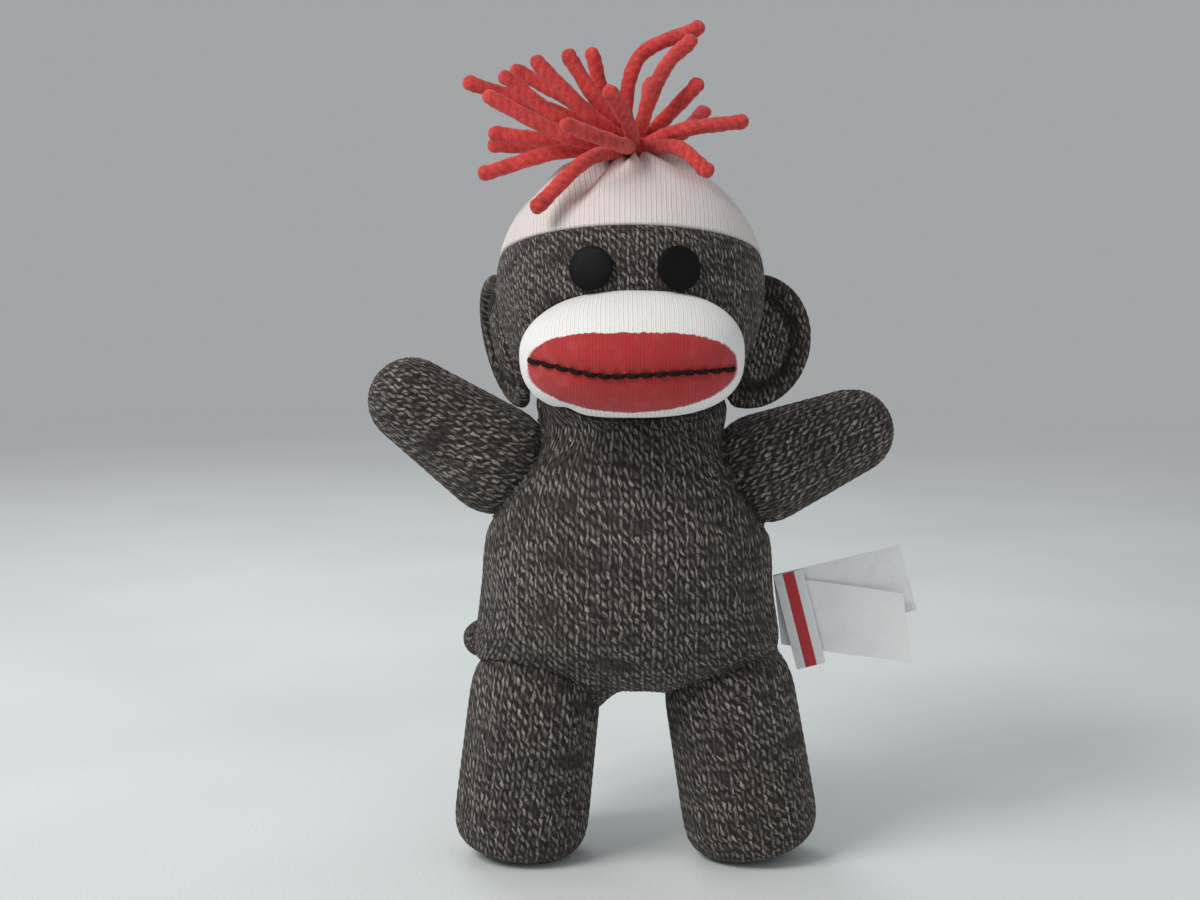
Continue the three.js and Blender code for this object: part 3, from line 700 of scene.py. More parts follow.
def sewn_limb(name, joint, outward, outline, first_column, thigh=0.0, root="torso"):
    radius, level, length = outline
    axes = standing(outward)
    limb = spun_skin(name, 32, 28, outline, axes, turning[joint])
    local = (points_of(limb) - turning[joint]) @ axes.T
    on_seam = np.abs(local[:, 1]) < 0.4
    swell(limb, (local[:, 2] < 4) | on_seam | (local[:, 2] > level[-1] - 1.5), fullest_swell)
    smooth_out(limb, 3)
    local = (points_of(limb) - turning[joint]) @ axes.T
    ahead = np.clip(-local[:, 1] / arm_root_radius, 0, 1) ** 2
    near_root = np.exp(-(((local[:, 2] - fullest_thigh) / thigh_reach) ** 2))
    near_root *= rising(local[:, 2], thigh_start, thigh_fade)
    move_points(limb, points_of(limb) - np.outer(thigh * ahead * near_root, axes[1]))
    vertex, angle, share, face = corners_of(limb)
    turned, front = panel_angle(angle, face)
    out = at_share(radius, share)
    sink_seam(limb, vertex, out * (math.pi / 2 - np.abs(turned)))
    columns = out * turned / marl_wale + np.where(front, first_column, first_column + 60)
    raise_stitches(limb, columns, share * length / marl_course, vertex, marl_relief)
    points = points_of(limb)
    high = points[:, 2]
    points[:, 2] = np.where(high < 3, (high + np.sqrt(high**2 + sole_softness**2)) / 2, high)
    move_points(limb, points)
    limb.data.materials.append(marl)
    if thigh:
        start, end = (turning[joint] + np.outer([-thigh_top, thigh_bottom], axes[2])) * mm
        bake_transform(limb, root, name, start=tuple(start), end=tuple(end))
    else:
        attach(limb, name)
    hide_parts(f"{name}_skin", f"{name}_stuffing")
    return limb


def direction(rise, sweep, side):
    """A way out from the body, by how far it rises, how far it sweeps back, and its side."""
    flat = math.cos(math.radians(rise))
    return [side * flat * math.cos(math.radians(sweep)), flat * math.sin(math.radians(sweep)),
            math.sin(math.radians(rise))]


arm_sides = limb_outline(**arm_outline_sizes)
leg_sides = limb_outline(**leg_outline_sizes)
sewn_limb("right_arm", "right_arm_raise", direction(35.0, 0.0, -1), arm_sides, 0.3)
sewn_limb("left_arm", "left_arm_raise", direction(18.0, 22.0, 1), arm_sides, 7.1)
sewn_limb("right_leg", "right_leg_swing", direction(-83.7, 0.0, -1), leg_sides, 3.6, 6.0, "right_hip")
sewn_limb("left_leg", "left_leg_swing", direction(-80.5, 0.0, 1), leg_sides, 5.4, 2.0, "left_hip")


# Tail
# A thin tube of the marled knit, stuffed and closed at its end, sewn on low at the back and curling
# round to the toy's right side.
tail_reach = 40.0
tail_shares = [(0, 0, 0), (-0.06, 0.2, 0.02), (-0.34, 0.32, 0), (-0.7, 0.18, -0.08), (-0.93, -0.08, -0.12)]


def curve_through(marks):
    """A smooth curve through the given marks, at even steps, and its length."""
    marks = np.array(marks, float)
    ends = [2 * marks[0] - marks[1], 2 * marks[-1] - marks[-2]]
    marks = np.vstack([ends[0], marks, ends[1]])
    traced = []
    for i in range(1, len(marks) - 2):
        near = marks[i - 1 : i + 3]
        gaps = np.sqrt(np.linalg.norm(np.diff(near, axis=0), axis=1))
        at = np.concatenate([[0], np.cumsum(gaps)])
        t = np.linspace(at[1], at[2], 50)[:, None]
        one = [(at[k + 1] - t) / gaps[k] * near[k] + (t - at[k]) / gaps[k] * near[k + 1] for k in range(3)]
        two = [(at[k + 2] - t) / (at[k + 2] - at[k]) * one[k] + (t - at[k]) / (at[k + 2] - at[k]) * one[k + 1]
               for k in range(2)]
        traced.append((at[2] - t) / gaps[1] * two[0] + (t - at[1]) / gaps[1] * two[1])
    path, length = at_even_steps(np.vstack(traced), 240)
    return np.stack(path, 1), length


def rope_skin(name, around, rings, marks, radius_at, section):
    """A closed skin along a curve, with round ends and a section that may be lobed and twist."""
    path, length = curve_through(marks)
    way = np.gradient(path, axis=0)
    way /= np.linalg.norm(way, axis=1, keepdims=True)
    upward = np.cross(way[0], [0.3, 0.5, 0.8])
    sides = []
    for step in way:
        upward = upward - step * (upward @ step)
        upward = upward / np.linalg.norm(upward)
        sides.append(upward)
    sides = np.array(sides)
    places = np.linspace(0, length, len(path))

    def shape(angle, share):
        start, end = radius_at(0.0), radius_at(length)
        run = share * (length + (start + end) * math.pi / 2)
        first = np.minimum(run / start, math.pi / 2)
        last = np.maximum(0, (run - length - start * math.pi / 2) / end)
        place = np.clip(run - start * math.pi / 2, 0, length)
        centre, ahead, aside = (
            np.stack([np.interp(place, places, column) for column in rows.T], 1)
            for rows in (path, way, sides))
        other = np.cross(ahead, aside)
        centre += ahead * (end * np.sin(last) - start * np.cos(first))[:, None]
        out = radius_at(place) * np.sin(first) * np.cos(last) * section(angle, place, length)
        return centre + (aside * np.sin(angle)[:, None] - other * np.cos(angle)[:, None]) * out[:, None]

    return shaped_ball(name, around, rings, shape), length


tail, tail_length = rope_skin(
    "tail", 20, 40, turning["tail_wag"] + np.array(tail_shares) * tail_reach,
    lambda place: tail_radius + 0.0 * place, lambda angle, place, length: 1.0 + 0.0 * place)
smooth_out(tail, 2)
vertex, angle, share, face = corners_of(tail)
raise_stitches(tail, tail_radius * angle / marl_wale + 0.2, share * (tail_length + tail_radius * math.pi)
               / marl_course, vertex, marl_relief * 0.8)
tail.data.materials.append(marl)
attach(tail, "tail")
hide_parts("tail_skin", "tail_stuffing")


# Head
# A ball of the marled knit, stuffed firmly, gathered shut at the neck and sewn into the torso. It
# ends at the seam of the cap, which lies lower at the back, and is pressed in where the muzzle sits.
crown_seam_height = 9.7
crown_seam_tilt = math.radians(17.5)
under_crown = 2.4
head_knit = 0.82
crown_overlap = 0.5
muzzle_semi_axes = np.array([30.0, 22.0, 17.2])
muzzle_centre = head_centre + np.array([0.0, -32.0, -14.7])
crown_up = np.array([0.0, math.sin(crown_seam_tilt), math.cos(crown_seam_tilt)])
seam_level = crown_seam_height * math.cos(crown_seam_tilt)
head_axes = standing(crown_up)


def arc(radius, start, end):
    """Part of a ball's outline between two angles over its equator."""
    bend = np.linspace(start, end, 240)
    return np.stack([radius * np.cos(bend), radius * np.sin(bend)], 1)


seam_angle = math.asin(seam_level / head_radius)
head_sides = even_outline(np.vstack([
    arc(head_radius, -math.pi / 2, seam_angle - 0.01),
    arc(head_radius - under_crown, seam_angle + 0.02, math.pi / 2)]))
head = spun_skin("head", 48, 64, head_sides, head_axes, head_centre)
smooth_out(head, 3)
vertex, angle, share, face = corners_of(head)
turned, front = panel_angle(angle, face)
out = at_share(head_sides[0], share)
scaled = (points_of(head) - muzzle_centre) / muzzle_semi_axes
pressed = hollow_out(scaled, np.zeros(3), 1.01, [0.0, 1.0, 0.0], 0.16, 0.05, 5)
move_points(head, pressed * muzzle_semi_axes + muzzle_centre)
columns = out * turned / (marl_wale * head_knit) + np.where(front, 2.2, 62.2)
raise_stitches(head, columns, share * head_sides[2] / (marl_course * head_knit), vertex, marl_relief * 0.8)
head.data.materials.append(marl)
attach(head, "head")
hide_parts("head_skin", "head_stuffing")


# Crown
# A cap panel of fine off-white knit, sewn to the head all round. Its top is gathered into pleats
# under the yarn tuft, and its fine columns run up to them.
crown_wale = 1.4
crown_course = 1.05
pleat_depth = 1.5
pleat_middle = 7.0
pleat_reach = 9.0
lowest_pleat = -32.0
tuft_centre = head_centre + np.array([1.0, 0.0, 39.0])


def fine_knit(wires, place, wale, course, light, gap):
    """Colour and height of a fine stockinette, from a place in mm on the cloth."""
    body = wires.on_object()
    sway = wires.noise(body, 180.0, 1.0) - 0.5
    across = place.part() / wale + sway * 0.35
    up = place.part(1) / course + sway * 0.5
    _, _, off, bead = stitch_legs(wires, across, up, 0.3)
    line = off.between(0.3, 0.5)
    fuzz = wires.noise(body, 2600.0, 3.0)
    wear = wires.noise(body, 70.0, 2.0).between(0.3, 0.75)
    # Painted shade: darker in the lines between the columns and between the legs of each stitch; the fuzz and
    # the wear vary the yarn's own tone.
    shade = line * 0.42 + (1.0 - bead) * 0.22 + (fuzz - 0.5) * 0.6 + wear * 0.12
    return shade.between(0.0, 1.0).blend(light, gap), bead * 0.55 + fuzz * 0.45


def cream_knit():
    material, wires, surface = new_material("cream_knit", 0.95, {"Sheen Weight": 0.2})
    place = wires.map("stitches")
    light, gap = tone(232, 223, 220), tone(176, 163, 158)
    colour, height = fine_knit(wires, place, crown_wale, crown_course, light, gap)
    colour.feed(surface, "Base Color")
    wires.bump(height, 0.3, 0.8).feed(surface, "Normal")
    return material


crown_edge = seam_angle - crown_overlap / head_radius
crown_sides = even_outline(np.vstack([
    arc(head_radius - under_crown + 0.6, math.pi / 2, crown_edge),
    arc(head_radius + 0.25, crown_edge, math.pi / 2)]))
crown = spun_skin("crown", 48, 90, crown_sides, head_axes, head_centre)
smooth_out(crown, 2)
vertex, angle, share, face = corners_of(crown)
turned, front = panel_angle(angle, face)
out = at_share(crown_sides[0], share)
points = points_of(crown)
spread = points - tuft_centre
reach = np.hypot(spread[:, 0], spread[:, 1])
turn = np.arctan2(spread[:, 0], -spread[:, 1])
outer = spread[:, 2] > lowest_pleat
gathered = np.exp(-(((reach - pleat_middle) / pleat_reach) ** 2))
many = np.cos(11 * turn + 1.1 * np.sin(2 * turn + 0.4)) * gathered
pleats = pleat_depth * 0.7 * many
for middle, width, deep, start, end in (
    (-46, 6, 2.6, 3, 34), (-33, 5, -1.9, 3, 31), (-60, 6, -1.9, 3, 28), (-74, 7, 1.9, 3, 28),
    (40, 7, 1.0, 3, 20), (56, 5, -1.5, 3, 20), (72, 8, 2.4, 2, 22), (92, 6, -1.3, 3, 18),
    (150, 8, 1.3, 4, 24), (-120, 8, 1.2, 4, 22), (-165, 7, -1.1, 4, 20),
):
    apart = (np.degrees(turn) - middle + 180) % 360 - 180
    fade = rising(reach, end, -8) * rising(reach, start, 3)
    pleats += deep * np.exp(-((apart / width) ** 2)) * fade
away = points - head_centre
away /= np.linalg.norm(away, axis=1, keepdims=True)
move_points(crown, points + away * (pleats * outer)[:, None])
store_map(crown, "stitches", out * turned + 0.4, share * crown_sides[2])
crown.data.materials.append(cream_knit())
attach(crown, "head")
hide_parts("crown_panel")


# Muzzle
# An oval pad of fine white knit, stuffed and sewn to the front of the head. The red of the lips is
# knitted in, with finer columns, and the seam of the mouth draws the pad in along its middle.
white_wale = 1.2
lip_wale = 0.95
fine_course = 0.95
lip_half_width = 27.6
lip_half_height = 10.9
lip_drop = 3.8
mouth_groove = 1.1
mouth_reach = 2.0
mouth_end = 29.0
pull_step = 3.7
pinch_place = (-17.0, -14.5)
pinch_reach = 3.0
pinch_lift = 1.2
mouth_marks = [(-28, 2.9), (-20, 1.8), (-16.5, 1.0), (-12.2, 0.3), (-7, -0.5), (-2.5, -0.3), (2.8, 0.0),
               (8.5, 0.25), (12.7, 0.4), (16.5, 0.5), (28, 0.5)]
muzzle_powers = {"upper left": 2.0, "upper right": 2.3, "lower": 2.7}


def mouth_line(x):
    """The height of the mouth's seam, from the muzzle's centre, at a place across it."""
    marks = np.array(mouth_marks)
    fine = np.linspace(-28, 28, 57)
    heights = np.interp(fine, marks[:, 0], marks[:, 1])
    eased = np.convolve(np.pad(heights, 3, mode="edge"), np.ones(7) / 7, mode="valid")
    return np.interp(x, fine, eased) - lip_drop


def muzzle_knit():
    material, wires, surface = new_material("muzzle_knit", 0.95, {"Sheen Weight": 0.2})
    place = wires.map("stitches")
    white, white_height = fine_knit(wires, place, white_wale, fine_course, tone(250, 248, 245),
                                    tone(206, 203, 199))
    red, red_height = fine_knit(wires, place, lip_wale, fine_course, tone(186, 46, 47), tone(134, 28, 31))
    body = wires.on_object()
    # The red is paler in blotches where its fuzz is worn.
    blotches = wires.noise(body, 260.0, 3.0).between(0.45, 0.85) * 0.5
    red = blotches.blend(red, tone(208, 82, 78))
    flat = wires.map("face")
    edge = wires.noise(body, 900.0, 2.0) - 0.5
    broad = wires.noise(body, 160.0, 1.0) - 0.5
    x = flat.part() / lip_half_width
    z = (flat.part(1) + lip_drop) / lip_half_height
    z = z + edge * 0.09 + broad * 0.05
    x = x + edge * 0.02
    above = wires.maths("GREATER_THAN", z, 0.0)
    right = wires.maths("GREATER_THAN", x, 0.0)
    power = 2.0 + above * 0.8 - (1.0 - above) * right * 0.15
    oval = wires.maths("ABSOLUTE", x) ** power + wires.maths("ABSOLUTE", z) ** power
    lips = 1.0 - oval.between(0.95, 1.03)
    lips = lips * (1.0 - body.part(1).between((muzzle_centre[1] - 1.5) * mm, (muzzle_centre[1] + 0.5) * mm))
    lips.blend(white, red).feed(surface, "Base Color")
    height = white_height + (red_height - white_height) * lips
    wires.bump(height, 0.28, 0.8).feed(surface, "Normal")
    return material


def on_ball(angle, share):
    """How far a place on a ball is tilted up, and the way out to it from the middle."""
    tilt = (share - 0.5) * math.pi
    return tilt, np.stack([np.cos(tilt) * np.sin(angle), -np.cos(tilt) * np.cos(angle), np.sin(tilt)], 1)


def muzzle_shape(angle, share):
    _, unit = on_ball(angle, share)
    flat = np.hypot(unit[:, 0], unit[:, 2])
    across, up = np.abs(unit[:, 0]) / np.maximum(flat, 1e-6), np.abs(unit[:, 2]) / np.maximum(flat, 1e-6)
    upper = np.where(unit[:, 0] < 0, muzzle_powers["upper left"], muzzle_powers["upper right"])
    power = np.where(unit[:, 2] > 0, upper, muzzle_powers["lower"])
    fuller = (across**power + up**power) ** (-1 / power)
    fuller = 1 + (fuller - 1) * np.clip(flat, 0, 1) ** 2
    grown = unit * np.stack([fuller, np.ones_like(fuller), fuller], 1)
    return grown * muzzle_semi_axes + muzzle_centre


muzzle = shaped_ball("muzzle", 56, 36, muzzle_shape)
local = points_of(muzzle) - muzzle_centre
swell(muzzle, (local[:, 1] > -4) | (np.abs(local[:, 2] - mouth_line(local[:, 0])) < 1.5), 1.0)
smooth_out(muzzle, 2)
local = points_of(muzzle) - muzzle_centre
ahead = rising(local[:, 1], 0, -6)
from_mouth = local[:, 2] - mouth_line(local[:, 0])
near = np.exp(-((from_mouth / mouth_reach) ** 2)) * ahead * rising(np.abs(local[:, 0]), mouth_end, -3)
pulls = 0.75 + 0.25 * np.cos(local[:, 0] * 2 * math.pi / pull_step)
local[:, 1] += mouth_groove * near * pulls
pinch = np.exp(-np.sum(((local[:, [0, 2]] - pinch_place) / pinch_reach) ** 2, axis=1))
local[:, 2] += pinch_lift * pinch
move_points(muzzle, local + muzzle_centre)
vertex, angle, share, face = corners_of(muzzle)
semi_x, semi_y, semi_z = muzzle_semi_axes
tilt = (share - 0.5) * math.pi
run = (semi_x + semi_y) / 2 * angle + (semi_x - semi_y) / 4 * np.sin(2 * angle)
store_map(muzzle, "stitches", run * np.cos(tilt), (semi_y + semi_z) / 2 * tilt)
store_map(muzzle, "face", local[vertex, 0], local[vertex, 2])
muzzle.data.materials.append(muzzle_knit())
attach(muzzle, "head")
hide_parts("muzzle_skin", "muzzle_stuffing")


# Mouth
# One dark brown thread of two plies, back-stitched from corner to corner. Each stitch dives into
# the lips at both ends and leans a little.
mouth_stitch_count = 15
mouth_thread = 0.62
mouth_half_width = 27.2
stitch_share = 0.86
stitch_lean = 0.12
stitch_arch = 0.5


def dark_thread():
    material, wires, surface = new_material("dark_thread", 0.9, {"Specular IOR Level": 0.2})
    body = wires.on_object()
    fibre = wires.noise(body, 3200.0, 2.0).between(0.3, 0.75)
    fibre.blend(tone(20, 12, 11), tone(46, 30, 26)).feed(surface, "Base Color")
    wires.bump(fibre, 0.12, 0.6).feed(surface, "Normal")
    return material


local = points_of(muzzle) - muzzle_centre
front_points = local[local[:, 1] < -2]


def on_muzzle(x, z):
    """The muzzle's surface in front of a place, from the nearest points of its skin."""
    away = (front_points[:, 0] - x) ** 2 + (front_points[:, 2] - z) ** 2
    nearest = np.argsort(away)[:4]
    return np.array([x, front_points[nearest, 1].mean(), z])


def thread_section(angle, place, length):
    return 1.0 + 0.16 * np.cos(2 * angle - place * 4.2)


thread = dark_thread()
stitches = []
for number in range(mouth_stitch_count):
    edges = (np.array([number, number + stitch_share]) / mouth_stitch_count * 2 - 1) * mouth_half_width
    lean = stitch_lean * (1 if number % 3 else 0.4)
    start = on_muzzle(edges[0], mouth_line(edges[0]) + lean)
    end = on_muzzle(edges[1], mouth_line(edges[1]) - lean)
    middle = (start + end) / 2
    ahead = np.array([middle[0] / semi_x**2, middle[1] / semi_y**2, middle[2] / semi_z**2])
    ahead /= np.linalg.norm(ahead)
    marks = [start - ahead * 0.4, start * 0.75 + end * 0.25 + ahead * stitch_arch,
             start * 0.25 + end * 0.75 + ahead * stitch_arch, end - ahead * 0.4]
    stitch, _ = rope_skin(f"mouth_stitch_{number + 1:02d}", 12, 18, np.array(marks) + muzzle_centre,
                          lambda place: mouth_thread + 0.0 * place, thread_section)
    stitches.append(stitch)
bpy.ops.object.select_all(action="DESELECT")
for stitch in stitches:
    stitch.select_set(True)
bpy.context.view_layer.objects.active = stitches[0]
bpy.ops.object.join()
mouth = bpy.context.object
mouth.name = "mouth"
mouth.data.uv_layers.remove(mouth.data.uv_layers["OFBake"])
mouth.data.materials.append(thread)
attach(mouth, "head")
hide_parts("mouth_stitching")


# Eyes
# Two buttons of black moulded plastic with a low dome and a rounded rim. The shank of each goes
# through the skin, where a washer inside the head holds it.
eye_radius = 6.0
eye_rim = 0.9
eye_dome = 0.7
eye_seat = head_radius + 0.35
shank_radius = 1.5
shank_length = 5.0
eye_spread = 11.3
eye_shift = 0.7
eye_rise = 7.7


def black_plastic():
    material, wires, surface = new_material("black_plastic", 0.45, {"Specular IOR Level": 0.12})
    body = wires.on_object()
    haze = wires.noise(body, 350.0, 3.0).between(0.35, 0.75)
    dust = wires.noise(body, 2400.0, 2.0).between(0.6, 0.8)
    moulded = haze.blend(tone(11, 10, 11), tone(18, 17, 19))
    (dust * 0.35).blend(moulded, tone(58, 57, 61)).feed(surface, "Base Color")
    (0.5 + haze * 0.14 + dust * 0.12).feed(surface, "Roughness")
    wires.bump(haze, 0.03, 0.4).feed(surface, "Normal")
    return material


def eye_outline():
    bend = np.linspace(0, math.pi / 2, 24)
    corner = np.stack([eye_radius - eye_rim * (1 - np.sin(bend)), eye_seat + eye_rim * (1 - np.cos(bend))], 1)
    dome = np.stack([(eye_radius - 0.35) * np.cos(bend), eye_seat + eye_rim + eye_dome * np.sin(bend)], 1)
    stem = [[0, eye_seat - shank_length], [shank_radius, eye_seat - shank_length], [shank_radius, eye_seat]]
    return even_outline(np.vstack([stem, corner, dome]))


plastic = black_plastic()
for name, side in (("right_eye", -1), ("left_eye", 1)):
    across = eye_shift + side * eye_spread
    outward = [across, -math.sqrt(head_radius**2 - across**2 - eye_rise**2), eye_rise]
    eye = spun_skin(f"{name}_button", 64, 90, eye_outline(), standing(outward), head_centre)
    eye.data.materials.append(plastic)
    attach(eye, "head")
    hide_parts(name)


# Ears
# Two half-moons of marled knit, front and back sewn together and lightly stuffed, with a line of
# stitching that leaves a rolled rim. The toy's left ear stands out and its right one lies back.
ear_reach = 14.8
ear_half_height = 17.3
ear_root = 5.0
ear_pad = 3.1
ear_groove_share = 0.7
ear_rim = 1.9
groove_run = 11.4
groove_width = 1.2
groove_shade = 0.9
ear_tilt = math.radians(12)


def ear_profile():
    """Across an ear from the middle of its front to the middle of its back: how far out, then how
    far beyond the rim's line, then how thick."""
    pad = np.linspace(0, 1, 60)
    front = np.stack([pad * ear_groove_share, 0 * pad, -ear_pad * np.sqrt(1 - pad**2)], 1)
    bend = np.linspace(0.06, 1.94, 90) * math.pi
    rim = np.stack([1 + 0 * bend, -ear_rim * np.cos(bend), -ear_rim * np.sin(bend)], 1)
    back = front[::-1] * np.array([1, 1, -1])
    rows = np.vstack([front, rim, back])
    flat = np.stack([rows[:, 0] * ear_reach + rows[:, 1], rows[:, 2]], 1)
    return at_even_steps(rows, 500, flat)[0]


def ear_shape(side, axes, centre):
    def shape(angle, share):
        out, up = np.cos(angle), np.sin(angle)
        rim = np.stack([np.where(out > 0, ear_reach, ear_root) * out, ear_half_height * up], 1)
        normal = np.stack([out, up * ear_reach / ear_half_height], 1)
        normal /= np.linalg.norm(normal, axis=1, keepdims=True)
        flat = rim * at_share(outs, share)[:, None] + normal * at_share(beyond, share)[:, None]
        local = np.stack([side * flat[:, 0], at_share(thick, share), flat[:, 1]], 1)
        return local @ axes + centre

    return shape


outs, beyond, thick = ear_profile()
for name, side, fold in (("right_ear", -1, 66), ("left_ear", 1, 0)):
    lean = Matrix.Rotation(side * ear_tilt, 3, "Y") @ Matrix.Rotation(side * math.radians(fold), 3, "Z")
    axes = np.array(lean).T
    centre = turning[f"{name}_fold"]
    ear = shaped_ball(name, 48, 72, ear_shape(side, axes, centre))
    bpy.ops.object.mode_set(mode="EDIT")
    bpy.ops.mesh.select_all(action="SELECT")
    bpy.ops.mesh.normals_make_consistent(inside=False)
    bpy.ops.object.mode_set(mode="OBJECT")
    smooth_out(ear, 2)
    vertex, angle, share, face = corners_of(ear)
    local = (points_of(ear) - centre) @ axes.T
    behind = (share > 0.5) * 40
    raise_stitches(ear, local[vertex, 0] / (marl_wale * head_knit) + behind,
                   local[vertex, 2] / (marl_course * head_knit), vertex, marl_relief * 0.6)
    run = at_share(outs, share) * ear_reach + at_share(beyond, share)
    # Painted shade in the groove along the ear's line of stitching.
    in_groove = at_vertices(ear, vertex, np.exp(-(((run - groove_run) / groove_width) ** 2)))
    paint_shade(ear, in_groove * groove_shade)
    ear.data.materials.append(marl)
    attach(ear, name)
    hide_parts(f"{name}_skin", f"{name}_stuffing")


# Tuft
# Short lengths of thick red acrylic yarn, three plies twisted together, tied in a knot on the
# crown and cut so that the ends spring out to all sides.
knot_radius = 5.5
yarn_radius = 2.05
yarn_root_radius = 1.9
yarn_swell = 7.0
yarn_plies = 3
ply_step = 2.6
tuft_reach = 40.0
strand_shares = [
    [(-0.06, 0.05, 0.26), (0.04, 0.1, 0.63), (0.44, 0.12, 0.82)],
    [(0.1, -0.17, 0.32), (0.23, -0.12, 0.58), (0.38, -0.07, 0.72)],
    [(0.19, 0.03, 0.18), (0.43, 0, 0.43)],
    [(0.31, -0.23, 0.12), (0.73, -0.15, 0.18)],
    [(0.3, -0.35, 0), (0.48, -0.42, -0.15)],
    [(-0.22, -0.15, 0.26), (-0.45, -0.15, 0.62)],
    [(-0.19, 0.24, 0.28), (-0.29, 0.25, 0.65)],
    [(-0.3, -0.33, 0.22), (-0.66, -0.35, 0.57)],
    [(-0.35, 0.05, 0.27), (-0.81, 0.1, 0.53)],
    [(-0.47, -0.17, 0.17), (-0.88, -0.15, 0.48)],
    [(-0.46, 0.33, 0.22), (-1.15, 0.25, 0.45)],
    [(-0.46, -0.42, 0.08), (-0.98, -0.4, 0.34)],
    [(-0.54, -0.03, 0.05), (-0.96, 0, 0.1)],
    [(-0.52, 0.28, 0), (-0.98, 0.3, 0.02)],
    [(-0.54, -0.24, -0.03), (-1.02, -0.25, -0.17)],
    [(-0.33, -0.52, -0.08), (-0.65, -0.73, -0.38)],
    [(-0.11, 0.42, 0.19), (-0.24, 0.65, 0.45)],
    [(0.08, 0.25, 0.25), (0.12, 0.5, 0.45)],
    [(-0.04, -0.4, 0.15), (-0.17, -0.65, 0.37)],
    [(-0.32, 0.5, 0.08), (-0.73, 0.7, 0.25)],
    [(0.29, 0.25, 0.07), (0.5, 0.5, 0.25)],
    [(-0.12, -0.58, 0.03), (-0.45, -0.9, 0.15)],
]


def red_yarn():
    sheen = {"Sheen Weight": 0.35, "Sheen Tint": (1.0, 0.55, 0.5, 1.0)}
    material, wires, surface = new_material("red_yarn", 0.9, sheen)
    around = wires.map("plies").part()
    along = around.twin(1)
    body = wires.on_object()
    phase = (around * yarn_plies - along / ply_step) * (2 * math.pi)
    ply = wires.maths("COSINE", phase) * 0.5 + 0.5
    fuzz = wires.noise(body, 1100.0, 4.0)
    fibre = wires.noise(wires.point(phase * 1.6, along * 0.5), 2.2, 3.0)
    blotches = wires.noise(body, 140.0, 1.0) - 0.5
    # Partly painted light: the colour runs from a shadow red to a highlight red, darker in the grooves
    # between the plies, lighter on their crests, and lighter and darker in broad blotches; the fuzz and the
    # fibres vary it at random.
    shade = (ply * 0.16 + 0.42 + (fuzz - 0.5) * 0.6 + (fibre - 0.5) * 0.7 + blotches * 0.7).between(0.0, 0.95)
    colour = shade.blend(tone(160, 32, 38), tone(238, 76, 70))
    pale = (fuzz * fibre).between(0.3, 0.42) * 0.35
    pale.blend(colour, tone(244, 122, 108)).feed(surface, "Base Color")
    wires.bump(ply * 0.12 + fibre * 0.3 + fuzz * 0.5, 0.6, 1.0).feed(surface, "Normal")
    return material


def yarn_size(place):
    return yarn_root_radius + (yarn_radius - yarn_root_radius) * np.clip(place / yarn_swell, 0, 1)


def yarn_section(angle, place, length):
    """Three plies that wind round each other and open out a little at the cut end."""
    wound = np.cos(yarn_plies * angle - place / ply_step * 2 * math.pi)
    open_end = np.clip(1 - (length - place) / 3.5, 0, 1)
    uneven = 0.035 * np.cos(2 * angle + place * 0.8) + 0.025 * np.cos(5 * angle - place * 1.9)
    return 1.0 + (0.022 + 0.08 * open_end) * wound + 0.02 * open_end + uneven


yarn = red_yarn()


def finish_yarn(piece, length, *nodes):
    _, angle, share, _ = corners_of(piece)
    store_map(piece, "plies", angle / (2 * math.pi), share * length)
    piece.data.materials.append(yarn)
    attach(piece, "head")
    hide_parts(*nodes)


def knot_shape(angle, share):
    tilt, unit = on_ball(angle, share)
    wraps = np.abs(np.cos(5.5 * tilt + 1.3 * np.sin(2 * angle))) ** 0.7
    plies = np.cos(30 * angle + 14 * tilt)
    points = unit * (knot_radius * (0.86 + 0.14 * wraps + 0.02 * plies))[:, None] + tuft_centre
    away = points - head_centre
    distance = np.linalg.norm(away, axis=1, keepdims=True)
    return head_centre + away * np.maximum(1, (head_radius + 0.3) / distance)


knot = shaped_ball("tuft_tie", 72, 48, knot_shape)
finish_yarn(knot, 20.0, "tuft_knot")
for number, shares in enumerate(strand_shares, 1):
    marks = np.array(shares) * tuft_reach
    start = marks[0] / np.linalg.norm(marks[0]) * (knot_radius - 0.8)
    marks = np.vstack([start, marks]) + tuft_centre
    strand, length = rope_skin(f"yarn_{number:02d}", 24, 56, marks, yarn_size, yarn_section)
    finish_yarn(strand, length + (yarn_root_radius + yarn_radius) * math.pi / 2, f"yarn_strand_{number:02d}")


# Labels
# Woven polyester ribbon, sewn into the seam at the toy's left side: a narrow one folded in half,
# with one plain red stripe, and two bare white leaves behind it, whose outer ends curl forward.
tab_width = 8.3
tab_length = 28.0
tab_tilt = math.radians(14.5)
tab_apart = 0.32
leaf_width = 37.0
leaf_height = 19.5
leaf_shear = 5.0
ribbon_thickness = 0.26
label_seam = turning["side_tab_flap"]


def woven_ribbon(name, stripe):
    material, wires, surface = new_material(name, 0.55, {"Sheen Weight": 0.15})
    across = wires.map("weave").part()
    down = across.twin(1)
    warp = wires.maths("SINE", across * 22.0) * 0.5 + 0.5
    weft = wires.maths("SINE", down * 15.0) * 0.5 + 0.5
    body = wires.on_object()
    soil = wires.noise(body, 120.0, 3.0).between(0.35, 0.8)
    thread = wires.noise(body, 1800.0, 2.0)
    shade = (warp * 0.25 + weft * 0.35 + (thread - 0.5) * 0.4 + soil * 0.25).between(0.1, 1.0)
    colour = shade.blend(tone(243, 243, 243), tone(214, 215, 216))
    if stripe:
        from_middle = wires.maths("ABSOLUTE", wires.maths("ABSOLUTE", across - tab_width) - tab_width / 2)
        band = 1.0 - (from_middle + (thread - 0.5) * 0.12).between(1.55, 1.7)
        colour = band.blend(colour, shade.blend(tone(206, 46, 54), tone(168, 34, 42)))
    colour.feed(surface, "Base Color")
    wires.bump(warp * weft * 0.7 + thread * 0.3, 0.08, 0.5).feed(surface, "Normal")
    return material


